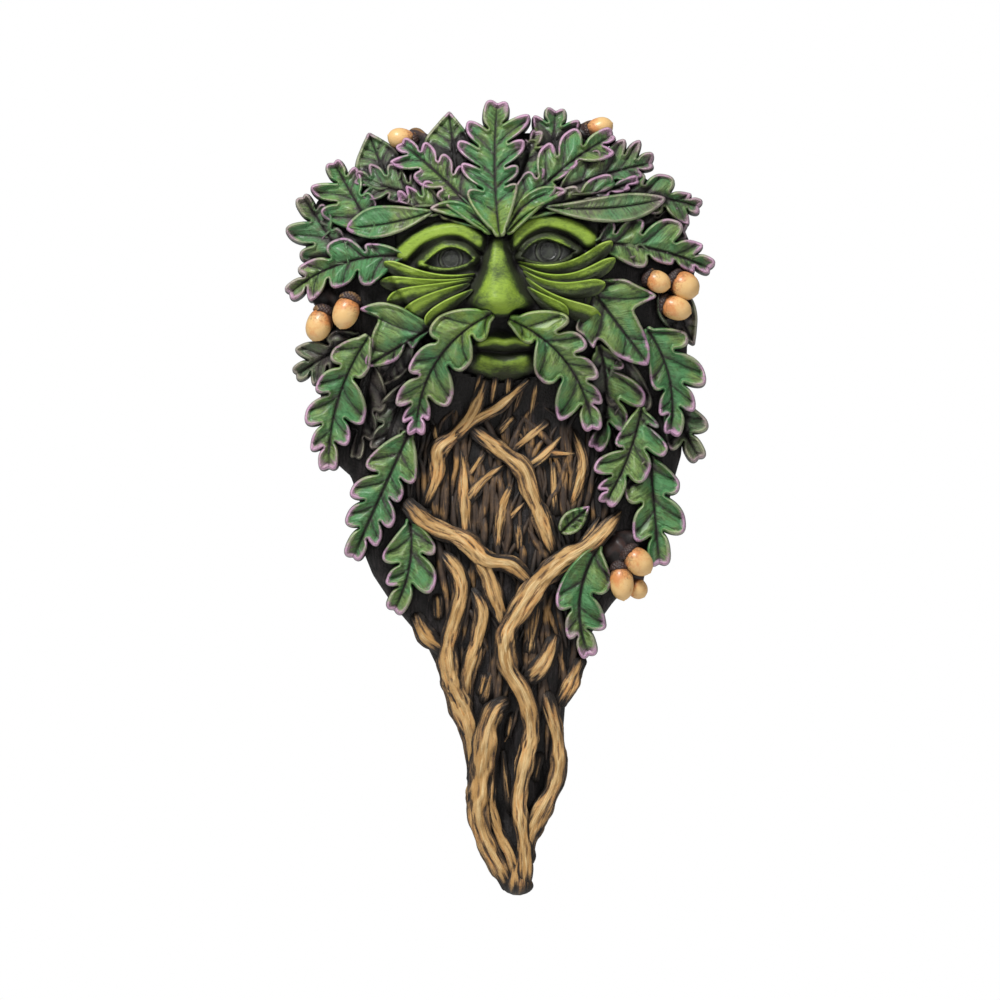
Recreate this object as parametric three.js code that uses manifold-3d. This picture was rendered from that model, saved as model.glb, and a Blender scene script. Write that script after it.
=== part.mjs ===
// Green man wall plaque: a face among oak leaves above a beard of twisting roots, cast in one piece.
// Millimetres, +Z up. The front faces -Y and the flat back lies on Y = 0,
// with the origin on it behind the nose.
//
// The carving is laid out on a drawing whose unit is a share of the height: x to the right,
// z up from the nose, and a depth d that stands out from the wall.
// The keyhole in the back has real sizes of its own.

import * as THREE from "three";
import { mergeVertices } from "three/addons/utils/BufferGeometryUtils.js";
import Module from "manifold-3d";

// Driving sizes
const HEIGHT = 400; // crown tip to root tip
const SCREW_HEAD_HOLE = 11; // diameter of the round hole that a screw head goes through
const SCREW_NECK_SLOT = 5; // width of the slot that holds the screw's neck
const SCREW_TRAVEL = 12; // how far the plaque drops onto the screw
const KEYHOLE_LIP = 3; // casting left in front of the screw head
const KEYHOLE_DEPTH = 8; // depth of the whole recess
const HANGING_HEIGHT = 46; // centre of the round hole above the origin

const DRAWING_UNITS = 800; // units of the drawing in the plaque's height
const UNIT = HEIGHT / DRAWING_UNITS;
const VEIN_LEAN = 0.7; // side veins run this far towards the tip for each unit they run out
const WALL_FLARE = 3; // how far a leaf's cast wall spreads by the time it reaches the back
const RIB_VALLEY = 3; // depth of the fold along a leaf's midrib
const BEHIND = 12; // how far a raw solid runs past the back before the back is cut flat

// Depth of the ground that the carving lies on:
// z, middle, half width, depth at the edge, depth at the middle
const GROUND = [
  [210, 0, 60, 22, 26],
  [170, 0, 110, 22, 44],
  [130, 0, 160, 24, 66],
  [80, 0, 192, 26, 84],
  [20, 2, 204, 28, 90],
  [-40, 2, 204, 28, 84],
  [-80, 2, 198, 28, 64],
  [-112, 2, 192, 26, 44],
  [-160, 2, 186, 26, 42],
  [-220, 2, 165, 24, 43],
  [-280, 2, 130, 22, 43],
  [-340, 4, 94, 20, 39],
  [-400, 8, 66, 18, 34],
  [-460, 14, 52, 16, 29],
  [-520, 8, 46, 16, 27],
  [-560, 14, 30, 15, 26],
  [-605, 16, 20, 14, 24],
];

// Outline of the ground itself, which shows only between the leaves and roots: z, left edge, right edge
const GROUND_EDGE = [
  [168, -58, 78],
  [150, -116, 106],
  [128, -150, 140],
  [100, -180, 174],
  [60, -196, 190],
  [20, -190, 196],
  [-10, -176, 190],
  [-40, -188, 188],
  [-110, -178, 186],
  [-155, -174, 182],
  [-176, -150, 176],
  [-210, -138, 168],
  [-250, -138, 148],
  [-275, -128, 138],
  [-305, -108, 112],
  [-345, -74, 84],
  [-400, -48, 66],
  [-440, -35, 63],
  [-480, -33, 58],
  [-520, -33, 42],
  [-550, -22, 33],
  [-576, -6, 31],
  [-588, 3, 28],
  [-595, 9, 22],
];

// Leaves from the wall outwards. Each has a stem and a tip, the tips of its lobes on the left
// and right of that run, the bow of its midrib, and its lift off the ground at stem and tip.
const LEAVES = [
  {
    name: "crown_left_back",
    kind: "ovate",
    stem: [-44, 128],
    tip: [-51, 190],
    width: [31, 18],
    lift: [3, 3],
  },
  {
    name: "crown_left_point",
    kind: "ovate",
    stem: [-110, 112],
    tip: [-132, 169],
    width: [27, 22],
    lift: [3, 4],
  },
  {
    name: "crown_right_back",
    stem: [50, 108],
    tip: [59, 191],
    left: [[24, 150], [34, 184]],
    right: [[84, 148], [82, 178]],
    bay: 0.7,
    lift: [3, 4],
  },
  {
    name: "right_edge_top",
    kind: "ovate",
    stem: [164, 12],
    tip: [195, -44],
    width: [20, 18],
    lift: [3, 3],
  },
  {
    name: "left_edge_dark",
    kind: "ivy",
    stem: [-136, -28],
    tip: [-206, -80],
    left: [[-178, -72]],
    right: [[-166, -26], [-203, -44]],
    bay: 0.8,
    lift: [8, 9],
  },
  {
    name: "left_upper_oak",
    stem: [-126, 70],
    tip: [-167, 139],
    left: [[-180, 86], [-189, 110]],
    right: [[-130, 98], [-142, 131]],
    lift: [9, 14],
  },
  {
    name: "left_edge_oak",
    stem: [-158, 34],
    tip: [-199, 105],
    left: [[-199, 41], [-212, 66]],
    right: [[-164, 70]],
    lift: [8, 10],
  },
  {
    name: "right_upper_oak",
    stem: [118, 106],
    tip: [200, 94],
    left: [[148, 130], [172, 127], [192, 114]],
    right: [[152, 92], [187, 80]],
    bow: 0.06,
    lift: [8, 11],
  },
  {
    name: "right_edge_back",
    stem: [166, -94],
    tip: [200, -159],
    left: [[207, -119]],
    right: [[168, -146]],
    lift: [3, 4],
  },
  {
    name: "crown_left_lower",
    stem: [-60, 94],
    tip: [-144, 118],
    left: [[-86, 92], [-108, 104], [-134, 101]],
    right: [[-96, 118], [-121, 130]],
    lift: [9, 11],
  },
  {
    name: "crown_right_outer",
    stem: [56, 110],
    tip: [154, 137],
    left: [[92, 146], [122, 163], [139, 160]],
    right: [[101, 114], [138, 122]],
    bow: 0.03,
    lift: [9, 12],
  },
  {
    name: "crown_left_oak",
    stem: [-8, 66],
    tip: [-101, 158],
    left: [[-62, 105], [-84, 118], [-113, 137]],
    right: [[-49, 139], [-68, 155]],
    bow: -0.03,
    lift: [14, 18],
  },
  {
    name: "crown_right_oak",
    stem: [5, 66],
    tip: [115, 166],
    left: [[41, 156], [69, 170]],
    right: [[46, 104], [70, 129], [112, 145]],
    bow: 0.08,
    lift: [14, 18],
  },
  {
    name: "brow_left_long",
    kind: "lance",
    stem: [-66, 88],
    tip: [-154, 72],
    width: [13, 13],
    bow: 0.04,
    lift: [16, 17],
  },
  {
    name: "brow_right_long",
    kind: "lance",
    stem: [44, 92],
    tip: [166, 102],
    width: [13, 15],
    bow: -0.05,
    lift: [20, 20],
  },
  {
    name: "brow_left_inner",
    kind: "lance",
    stem: [-8, 64],
    tip: [-70, 90],
    width: [8, 8],
    bow: -0.16,
    lift: [20, 20],
  },
  {
    name: "brow_right_inner",
    kind: "lance",
    stem: [6, 66],
    tip: [67, 108],
    width: [9, 9],
    bow: 0.16,
    lift: [20, 20],
  },
  {
    name: "crown_centre",
    stem: [0, 62],
    tip: [-2, 198],
    left: [[-33, 103], [-39, 133], [-43, 154], [-34, 173]],
    right: [[18, 112], [19, 129], [25, 154], [30, 182]],
    bow: 0.03,
    lift: [21, 25],
  },
  {
    name: "left_cheek_oak",
    stem: [-96, 43],
    tip: [-212, 7],
    left: [[-130, 14], [-158, 13], [-187, 0]],
    right: [[-122, 56], [-160, 62], [-197, 37]],
    bow: -0.1,
    lift: [15, 18],
  },
  {
    name: "right_temple_oak",
    stem: [98, 54],
    tip: [212, 29],
    left: [[106, 79], [137, 81], [176, 80], [199, 54]],
    right: [[138, 31], [163, 37]],
    bow: 0.1,
    lift: [14, 18],
  },
  {
    name: "left_beard_shade",
    kind: "ovate",
    stem: [-94, -84],
    tip: [-117, -150],
    width: [15, 17],
    lift: [3, 3],
  },
  {
    name: "left_mid_dark",
    kind: "ovate",
    stem: [-92, -40],
    tip: [-122, -88],
    width: [17, 17],
    lift: [3, 3],
  },
  {
    name: "left_mid_leaf",
    kind: "ivy",
    stem: [-74, -32],
    tip: [-136, -65],
    left: [[-102, -62]],
    right: [[-108, -12], [-140, -12]],
    bay: 0.72,
    lift: [9, 13],
  },
  {
    name: "right_mid_oak",
    stem: [98, -44],
    tip: [93, -148],
    left: [[124, -64], [146, -98], [128, -125]],
    right: [[85, -78], [92, -120]],
    bow: 0.1,
    lift: [7, 10],
  },
  {
    name: "right_outer_oak",
    stem: [146, -28],
    tip: [170, -134],
    left: [[189, -25], [206, -75], [196, -105]],
    right: [[150, -80], [159, -110]],
    bow: 0.11,
    lift: [10, 14],
  },
  {
    name: "right_cheek_leaf",
    kind: "ivy",
    stem: [94, 8],
    tip: [149, -65],
    left: [[122, 20], [156, 3]],
    right: [[88, -36], [116, -58]],
    bay: 0.8,
    lift: [16, 20],
  },
  {
    name: "left_beard_outer",
    stem: [-134, -42],
    tip: [-172, -169],
    left: [[-134, -120], [-150, -138]],
    right: [[-164, -36], [-184, -84], [-195, -113], [-190, -146]],
    bow: -0.08,
    lift: [16, 19],
  },
  {
    name: "right_lower_outer",
    stem: [150, -154],
    tip: [160, -265],
    left: [[180, -182], [186, -222]],
    right: [[124, -188], [133, -234]],
    lift: [8, 11],
  },
  {
    name: "right_lower_inner",
    stem: [142, -106],
    tip: [105, -203],
    left: [[160, -126], [168, -150], [150, -172]],
    right: [[116, -138], [95, -164], [98, -187]],
    bow: 0.05,
    lift: [12, 16],
  },
  {
    name: "left_beard_inner",
    stem: [-90, -130],
    tip: [-148, -258],
    left: [[-84, -179], [-98, -198], [-106, -223], [-120, -242]],
    right: [[-133, -159], [-149, -189], [-153, -214]],
    lift: [11, 15],
  },
  {
    name: "beard_left_low",
    stem: [-91, -218],
    tip: [-107, -311],
    left: [[-64, -248], [-64, -282]],
    right: [[-118, -254], [-114, -279]],
    bow: 0.09,
    lift: [8, 13],
  },
  {
    name: "beard_right_low",
    stem: [100, -244],
    tip: [89, -357],
    left: [[113, -281], [106, -324]],
    right: [[56, -296], [66, -333]],
    bow: -0.13,
    lift: [11, 15],
  },
  { name: "beard_bud", kind: "ovate", stem: [90, -207], tip: [60, -233], width: [10, 10], lift: [9, 9] },
  {
    name: "moustache_left",
    stem: [-7, -14],
    tip: [-84, -133],
    left: [[-14, -40], [-31, -66], [-48, -100], [-70, -118]],
    right: [[-61, -17], [-89, -62], [-104, -99], [-98, -120]],
    bow: -0.15,
    lift: [17, 24],
  },
  {
    name: "moustache_right",
    stem: [9, -20],
    tip: [93, -130],
    left: [[65, -15], [83, -38], [96, -68], [102, -98]],
    right: [[22, -42], [38, -78], [57, -117]],
    bow: 0.14,
    lift: [17, 24],
  },
];

// Slim leaves that fan over the cheeks from beside the nose
const CHEEK_LEAVES = [
  { stem: [-38, 23], tip: [-118, 39], width: 6, bow: 0.11 },
  { stem: [-33, 23], tip: [-119, 20], width: 6, bow: 0.09 },
  { stem: [-24, 23], tip: [-113, -2], width: 8, bow: 0.05 },
  { stem: [-25, 18], tip: [-100, -22], width: 10, bow: -0.06 },
  { stem: [-22, 8], tip: [-73, -26], width: 8, bow: -0.03 },
  { stem: [24, 30], tip: [112, 57], width: 7, bow: -0.14 },
  { stem: [34, 24], tip: [115, 40], width: 7, bow: -0.18 },
  { stem: [31, 21], tip: [103, 16], width: 7, bow: -0.19 },
  { stem: [27, 19], tip: [100, -12], width: 9, bow: -0.12 },
  { stem: [22, 8], tip: [56, -20], width: 8, bow: -0.05 },
];
const CHEEK_LEAF_LIFT = [4, 7];

// Half widths of the plain leaves along their run: [share of the length, share of the width]
const LEAF_PROFILES = {
  lance: [[0.02, 0.1], [0.3, 0.75], [0.7, 0.95]],
  ovate: [[0, 0.4], [0.22, 0.92], [0.55, 0.92], [0.84, 0.4]],
};

// Roots of the beard: the run on the drawing, the radius along it,
// and the lift of its middle off the ground
const ROOTS = [
  { run: [[46, -123], [13, -150]], radius: [5, 5], lift: 0 },
  { run: [[13, -184], [2, -208], [-3, -251]], radius: [4, 6, 4], lift: 0 },
  { run: [[73, -131], [83, -159], [78, -186], [70, -208]], radius: [3, 6, 6, 3], lift: 1 },
  { run: [[-38, -150], [-36, -175], [-36, -204], [-34, -240]], radius: [3, 6, 8, 7], lift: 1 },
  { run: [[4, -165], [-18, -182], [-32, -203]], radius: [3, 5, 6], lift: 2 },
  { run: [[26, -82], [0, -106], [-23, -119], [-45, -137]], radius: [3, 5, 5, 6], lift: 5 },
  {
    run: [[-16, -83], [-27, -113], [-45, -135], [-61, -150], [-63, -175], [-74, -204]],
    radius: [5, 6, 7, 9, 7, 3],
    lift: 3,
  },
  { run: [[62, -135], [44, -155], [26, -167]], radius: [2, 4, 6], lift: 3 },
  {
    run: [[-27, -130], [-3, -148], [22, -168], [30, -190], [40, -215], [54, -256]],
    radius: [5, 8, 9, 9, 8, 4],
    lift: 5,
  },
  {
    run: [[-29, -286], [-18, -311], [-23, -342], [-32, -376], [-34, -408]],
    radius: [4, 8, 8, 7, 5],
    lift: 1,
  },
  {
    run: [[-60, -250], [-43, -271], [-38, -293], [-45, -320], [-52, -349], [-48, -383], [-38, -420]],
    radius: [4, 8, 7, 8, 10, 9, 6],
    lift: 3,
  },
  { run: [[-86, -312], [-74, -336], [-54, -352]], radius: [5, 9, 8], lift: 2 },
  { run: [[56, -333], [44, -362], [24, -385]], radius: [7, 10, 7], lift: 1 },
  { run: [[82, -356], [71, -383], [58, -408]], radius: [7, 8, 6], lift: 1 },
  { run: [[-54, -362], [-46, -400], [-27, -440]], radius: [7, 8, 7], lift: 4 },
  { run: [[-30, -245], [-14, -271], [-5, -298], [6, -330]], radius: [6, 9, 8, 5], lift: 4 },
  {
    run: [[-97, -200], [-72, -224], [-36, -240], [-14, -260], [13, -266], [36, -290]],
    radius: [8, 8, 9, 9, 8, 4],
    lift: 7,
  },
  {
    run: [[44, -390], [53, -424], [60, -448], [61, -476], [50, -503], [37, -530], [31, -569]],
    radius: [7, 10, 10, 10, 10, 10, 8],
    lift: 2,
  },
  {
    run: [[-52, -372], [-41, -398], [-31, -428], [-28, -462], [-27, -484]],
    radius: [11, 12, 11, 8, 6],
    lift: 2,
  },
  {
    run: [[10, -400], [-12, -418], [-19, -454], [-26, -493], [-25, -526], [-11, -555], [9, -590]],
    radius: [6, 14, 14, 12, 11, 11, 8],
    lift: 4,
  },
  { run: [[-6, -450], [-11, -500], [2, -541], [17, -592]], radius: [5, 7, 8, 8], lift: 1 },
  { run: [[20, -556], [19, -575], [17, -597]], radius: [7, 12, 12], lift: 1 },
  {
    run: [
      [122, -211], [93, -242], [62, -262], [38, -284], [18, -313], [6, -336], [8, -367],
      [22, -391], [29, -412], [31, -434], [26, -456], [21, -484], [20, -511], [24, -552],
    ],
    radius: [3, 8, 9, 10, 11, 11, 10, 9, 9, 8, 9, 9, 8, 6],
    lift: 8,
  },
];

// Acorns: middle of the nut, half length and half width, direction of its tip in degrees,
// and lift off the ground
const ACORNS = [
  { at: [-181, -25], size: [15, 13], turn: 262, lift: 15 },
  { at: [-154, -14], size: [15, 13], turn: 255, lift: 18 },
  { at: [157, 19], size: [13, 11], turn: 160, lift: 13 },
  { at: [184, 15], size: [14, 14], turn: 20, lift: 17 },
  { at: [173, -8], size: [14, 13], turn: 250, lift: 15 },
  { at: [-98, 164], size: [14, 11], turn: 165, lift: 6 },
  { at: [101, 173], size: [14, 11], turn: 10, lift: 6 },
  { at: [139, -261], size: [15, 13], turn: 300, lift: 18 },
  { at: [122, -282], size: [15, 13], turn: 275, lift: 16 },
  { at: [139, -289], size: [12, 11], turn: 310, lift: 6 },
];

// Knots of twig and cup that the acorns grow from: middle, half width, half height, depth of its top
const TWIG_KNOTS = [
  { at: [-162, 0], half: [26, 26], depth: 50 },
  { at: [148, 10], half: [26, 22], depth: 56 },
  { at: [170, 0], half: [22, 24], depth: 42 },
  { at: [-84, 160], half: [16, 12], depth: 34 },
  { at: [88, 168], half: [16, 12], depth: 34 },
  { at: [120, -250], half: [22, 20], depth: 42 },
  { at: [128, -272], half: [20, 18], depth: 34 },
];

// Face, left before right as seen. The nose: z, middle, half width, rise
const NOSE_LINE = [
  [62, -1, 7, 6],
  [48, -1, 8, 12],
  [26, 0, 10, 20],
  [8, 1, 15, 30],
  [-2, 2, 17, 32],
  [-12, 2, 14, 20],
  [-20, 2, 9, 2],
];
const BROWS = [
  [[-16, 50], [-38, 70], [-62, 76], [-82, 66], [-97, 44]],
  [[12, 56], [28, 76], [53, 83], [76, 73], [88, 54]],
];
const UPPER_LIDS = [
  [[-24, 41], [-38, 53], [-54, 57], [-70, 51], [-84, 35]],
  [[18, 47], [32, 60], [48, 64], [64, 59], [80, 49]],
];
const LOWER_LIDS = [
  [[-24, 38], [-38, 29], [-54, 25], [-70, 29], [-82, 34]],
  [[19, 44], [32, 36], [48, 33], [64, 38], [78, 46]],
];
const EYES = [[-51, 41], [48, 49]];
const LIPS = [
  { run: [[-23, -44], [-10, -40], [3, -43], [15, -40], [27, -44]], radius: 5, height: 7 },
  { run: [[-20, -58], [3, -63], [26, -58]], radius: 8, height: 9 },
];
// Lines across and down the face where its carving turns
const FACE_COLUMNS = [-100, -84, -70, -58, -46, -34, -24, -16, -8, 2, 12, 20, 28, 38, 50, 62, 74, 86, 102];
const FACE_ROWS = [
  84, 72, 63, 57, 50, 43, 36, 29, 22, 12, 4, -4, -11, -18, -27, -38, -45, -52, -58, -66, -77, -90,
];
const FACE_LIFT = 3;

const kernel = await Module();
kernel.setup();

// A smooth curve through the rows of a table whose first column falls:
// the value of each other column at z.
function alongRows(rows, z) {
  const last = rows.length - 1;
  const clamped = Math.min(Math.max(z, rows[last][0]), rows[0][0]);
  let i = 0;
  while (i < last - 1 && clamped < rows[i + 1][0]) i += 1;
  const run = rows[i + 1][0] - rows[i][0];
  const t = (clamped - rows[i][0]) / run;
  const slope = (row, column) => {
    const before = rows[Math.max(row - 1, 0)];
    const after = rows[Math.min(row + 1, last)];
    return ((after[column] - before[column]) / (after[0] - before[0])) * run;
  };
  return rows[i].slice(1).map((start, k) => {
    const column = k + 1;
    const end = rows[i + 1][column];
    const a = t * t * (3 - 2 * t);
    const b = t * (1 - t) * (1 - t);
    const c = t * t * (t - 1);
    return start + (end - start) * a + slope(i, column) * b + slope(i + 1, column) * c;
  });
}

// Depth of the ground: domed across, sinking to its edge.
function groundDepth(x, z) {
  const [middle, half, edge, centre] = alongRows(GROUND, z);
  const t = Math.min(Math.abs(x - middle) / half, 1);
  return edge + (centre - edge) * (1 - t * t);
}

// The smooth line through points of the drawing, as a three.js curve.
function lineThrough(points) {
  return new THREE.SplineCurve(points.map(([x, z]) => new THREE.Vector2(x, z)));
}

// Distance on the drawing from (x, z) to a run of straight pieces.
function distanceTo(points, x, z) {
  let best = Infinity;
  for (let i = 0; i + 1 < points.length; i += 1) {
    const [ax, az] = points[i];
    const [bx, bz] = points[i + 1];
    const run = [bx - ax, bz - az];
    const t = ((x - ax) * run[0] + (z - az) * run[1]) / (run[0] ** 2 + run[1] ** 2);
    const on = Math.min(Math.max(t, 0), 1);
    best = Math.min(best, Math.hypot(x - ax - run[0] * on, z - az - run[1] * on));
  }
  return best;
}

// A closed solid from points on the drawing [x, z, depth] and triangles.
function solid(points, triangles) {
  const vertProperties = new Float32Array(points.flatMap(([x, z, d]) => [x * UNIT, -d * UNIT, z * UNIT]));
  return new kernel.Manifold(
    new kernel.Mesh({ numProp: 3, vertProperties, triVerts: new Uint32Array(triangles.flat()) }),
  );
}

// A solid from a closed three.js geometry, which is already in millimetres.
function solidOf(geometry) {
  const bare = geometry.clone();
  bare.deleteAttribute("normal");
  bare.deleteAttribute("uv");
  const merged = mergeVertices(bare, 1e-3);
  return new kernel.Manifold(
    new kernel.Mesh({
      numProp: 3,
      vertProperties: merged.attributes.position.array,
      triVerts: new Uint32Array(merged.index.array),
    }),
  );
}

// A block standing on the wall under a grid of depths: rows run down the drawing, columns to the right.
function reliefBlock(rows) {
  const across = rows[0].length;
  const points = rows.flat();
  const triangles = [];
  const id = (r, c) => r * across + c;
  for (let r = 0; r + 1 < rows.length; r += 1) {
    for (let c = 0; c + 1 < across; c += 1) {
      triangles.push([id(r, c), id(r + 1, c), id(r + 1, c + 1)]);
      triangles.push([id(r, c), id(r + 1, c + 1), id(r, c + 1)]);
    }
  }
  const rim = [];
  for (let r = 0; r < rows.length; r += 1) rim.push(id(r, 0));
  for (let c = 1; c < across; c += 1) rim.push(id(rows.length - 1, c));
  for (let r = rows.length - 2; r >= 0; r -= 1) rim.push(id(r, across - 1));
  for (let c = across - 2; c > 0; c -= 1) rim.push(id(0, c));
  closeOntoWall(points, triangles, rim);
  return solid(points, triangles);
}

// Drops walls from a rim, which runs anticlockwise seen from the front,
// and closes them behind the wall's plane.
function closeOntoWall(points, triangles, rim) {
  const first = points.length;
  for (const i of rim) {
    const [x, z] = points[i];
    points.push([x, z, -BEHIND]);
  }
  const hub = points.length;
  const sum = rim.reduce(([x, z], i) => [x + points[i][0], z + points[i][1]], [0, 0]);
  points.push([sum[0] / rim.length, sum[1] / rim.length, -BEHIND]);
  rim.forEach((i, k) => {
    const next = (k + 1) % rim.length;
    triangles.push([i, first + k, first + next]);
    triangles.push([i, first + next, rim[next]]);
    triangles.push([hub, first + next, first + k]);
  });
}

// The ground between its two edges.
function groundSolid() {
  const across = 4;
  return reliefBlock(
    GROUND_EDGE.map(([z, left, right]) => {
      const row = [];
      for (let c = 0; c <= across; c += 1) {
        const x = left + ((right - left) * c) / across;
        row.push([x, z, groundDepth(x, z)]);
      }
      return row;
    }),
  );
}

// A leaf's midrib at a share of its length: point, direction and the side that counts as left.
function midrib(leaf, share) {
  const [ax, az] = leaf.stem;
  const [bx, bz] = leaf.tip;
  const bow = 2 * (leaf.bow ?? 0);
  const cx = (ax + bx) / 2 - bow * (bz - az);
  const cz = (az + bz) / 2 + bow * (bx - ax);
  const back = 1 - share;
  const dx = back * (cx - ax) + share * (bx - cx);
  const dz = back * (cz - az) + share * (bz - cz);
  const size = Math.hypot(dx, dz);
  return {
    x: back * back * ax + 2 * back * share * cx + share * share * bx,
    z: back * back * az + 2 * back * share * cz + share * share * bz,
    left: [-dz / size, dx / size],
  };
}

function midribLength(leaf) {
  const steps = 30;
  let total = 0;
  let before = midrib(leaf, 0);
  for (let i = 1; i <= steps; i += 1) {
    const here = midrib(leaf, i / steps);
    total += Math.hypot(here.x - before.x, here.z - before.z);
    before = here;
  }
  return total;
}

// Where a point of the drawing lies on a leaf: how far along the midrib and how far out from it.
function onLeaf(leaf, length, [x, z]) {
  let best = { along: 0, out: 0, gap: Infinity };
  for (let share = 0; share <= 1.1; share += 0.005) {
    const rib = midrib(leaf, share);
    const gap = Math.hypot(x - rib.x, z - rib.z);
    const out = Math.abs((x - rib.x) * rib.left[0] + (z - rib.z) * rib.left[1]);
    if (gap < best.gap) best = { along: share * length, out, gap };
  }
  return best;
}

// One side of an oak leaf as [along, out] points: round lobes swept forwards, bays between them.
function oakSide(leaf, length, tips) {
  const lobes = tips.map((tip) => onLeaf(leaf, length, tip));
  const mean = lobes.reduce((sum, lobe) => sum + lobe.out, 0) / lobes.length;
  const endRadius = 0.3 * mean;
  const bay = leaf.bay ?? 0.42;
  const size = Math.hypot(VEIN_LEAN, 1);
  const forward = VEIN_LEAN / size;
  const outward = 1 / size;
  const stops = [0, ...lobes.map((lobe) => lobe.along), length + 0.3 * endRadius];
  const fingers = lobes.map(({ along, out }, k) => {
    const room = Math.min(along - stops[k], stops[k + 2] - along);
    const r = Math.min(0.4 * room, 0.42 * out, 0.085 * length);
    return {
      out,
      near: [along - forward * 0.35 * r - outward * r, out - outward * 0.35 * r + forward * r],
      far: [along - forward * 0.2 * r + outward * 0.8 * r, out - outward * 0.2 * r - forward * 0.8 * r],
    };
  });
  const side = [[0, 0.02 * length]];
  side.push([0.6 * fingers[0].near[0], 0.3 * fingers[0].out]);
  fingers.forEach(({ out, near, far }, k) => {
    side.push(near, far);
    const next = fingers[k + 1];
    if (next) side.push([(far[0] + next.near[0]) / 2, bay * Math.min(out, next.out)]);
  });
  const last = fingers[fingers.length - 1];
  const shoulder = [length - 1.15 * endRadius, endRadius];
  const bayAlong = Math.min((last.far[0] + shoulder[0]) / 2, length - 1.4 * endRadius);
  side.push([bayAlong, Math.min(0.62 * endRadius + 0.1 * last.out, 0.8 * last.far[1])]);
  side.push(shoulder);
  return side;
}

// One side of a pointed, ivy-like leaf.
function ivySide(leaf, length, tips) {
  const corners = [...tips.map((tip) => onLeaf(leaf, length, tip)), { along: length, out: 0 }];
  const side = [[0, 0.06 * length]];
  corners.forEach(({ along, out }, k) => {
    const before = corners[k - 1];
    if (before) {
      const middle = (before.along + along) / 2 - 0.1 * (1 - leaf.bay) * length;
      side.push([middle, (leaf.bay * (before.out + out)) / 2]);
    }
    if (out > 0) side.push([along, out]);
  });
  return side;
}

function plainSide(leaf, length, width) {
  return LEAF_PROFILES[leaf.kind].map(([share, reach]) => [share * length, reach * width]);
}

// Both sides of a leaf as [along, out], stem to tip, without the tip itself.
function leafSides(leaf, length) {
  if (leaf.kind === "lance" || leaf.kind === "ovate") {
    return leaf.width.map((width) => plainSide(leaf, length, width));
  }
  const side = leaf.kind === "ivy" ? ivySide : oakSide;
  return [side(leaf, length, leaf.left), side(leaf, length, leaf.right)];
}

// Triangles between two runs of points that start and end together, by how far each point has come.
function stitch(a, b, triangles, flip) {
  let i = 0;
  let j = 0;
  while (i + 1 < a.length || j + 1 < b.length) {
    const moveA = j + 1 >= b.length || (i + 1 < a.length && a[i + 1].at <= b[j + 1].at);
    const corner = moveA ? [a[i].id, a[i + 1].id, b[j].id] : [a[i].id, b[j + 1].id, b[j].id];
    if (moveA) i += 1;
    else j += 1;
    if (new Set(corner).size === 3) triangles.push(flip ? corner.reverse() : corner);
  }
}

// A leaf lying on the ground: a fold along its midrib, its edge standing proud,
// and walls back to the wall plane.
function leafSolid(leaf) {
  const length = midribLength(leaf);
  const ribSteps = leaf.left ? 4 : 3;
  const points = [];
  const triangles = [];
  const liftAt = (along) => leaf.lift[0] + (leaf.lift[1] - leaf.lift[0]) * (along / length);
  const place = (along, out, spread) => {
    const rib = midrib(leaf, along / length);
    const x = rib.x + rib.left[0] * out;
    const z = rib.z + rib.left[1] * out;
    const fold = out === 0 ? -RIB_VALLEY * Math.sin((Math.PI * along) / length) : 0;
    const bed = leaf.onFace ? faceRelief(x, z) : 0;
    points.push([x, z, spread ? -BEHIND : groundDepth(x, z) + bed + liftAt(along) + fold]);
    return points.length - 1;
  };
  const rim = (spread) => {
    const grow = (along) => along + spread * ((2 * along) / length - 1);
    const rib = [];
    for (let i = 0; i <= ribSteps; i += 1) {
      const along = (length * i) / ribSteps;
      rib.push({ at: along, id: place(grow(along), 0, spread) });
    }
    const sides = leafSides(leaf, length).map((side, k) => {
      const sign = k === 0 ? 1 : -1;
      let at = 0;
      const run = side.map(([along, out]) => {
        at = Math.min(Math.max(at, along - VEIN_LEAN * out), length);
        return { at, id: place(grow(along), sign * (out + spread), spread) };
      });
      return [rib[0], ...run, rib[ribSteps]];
    });
    sides.forEach((side, k) => stitch(rib, side, triangles, (k === 1) !== spread > 0));
    const loop = [...sides[0], ...sides[1].slice(1, -1).reverse()].map(({ id }) => id);
    return loop.reverse();
  };
  const top = rim(0);
  const bottom = rim(WALL_FLARE);
  top.forEach((id, k) => {
    const next = (k + 1) % top.length;
    triangles.push([id, bottom[k], bottom[next]], [id, bottom[next], top[next]]);
  });
  return solid(points, triangles);
}

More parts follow.
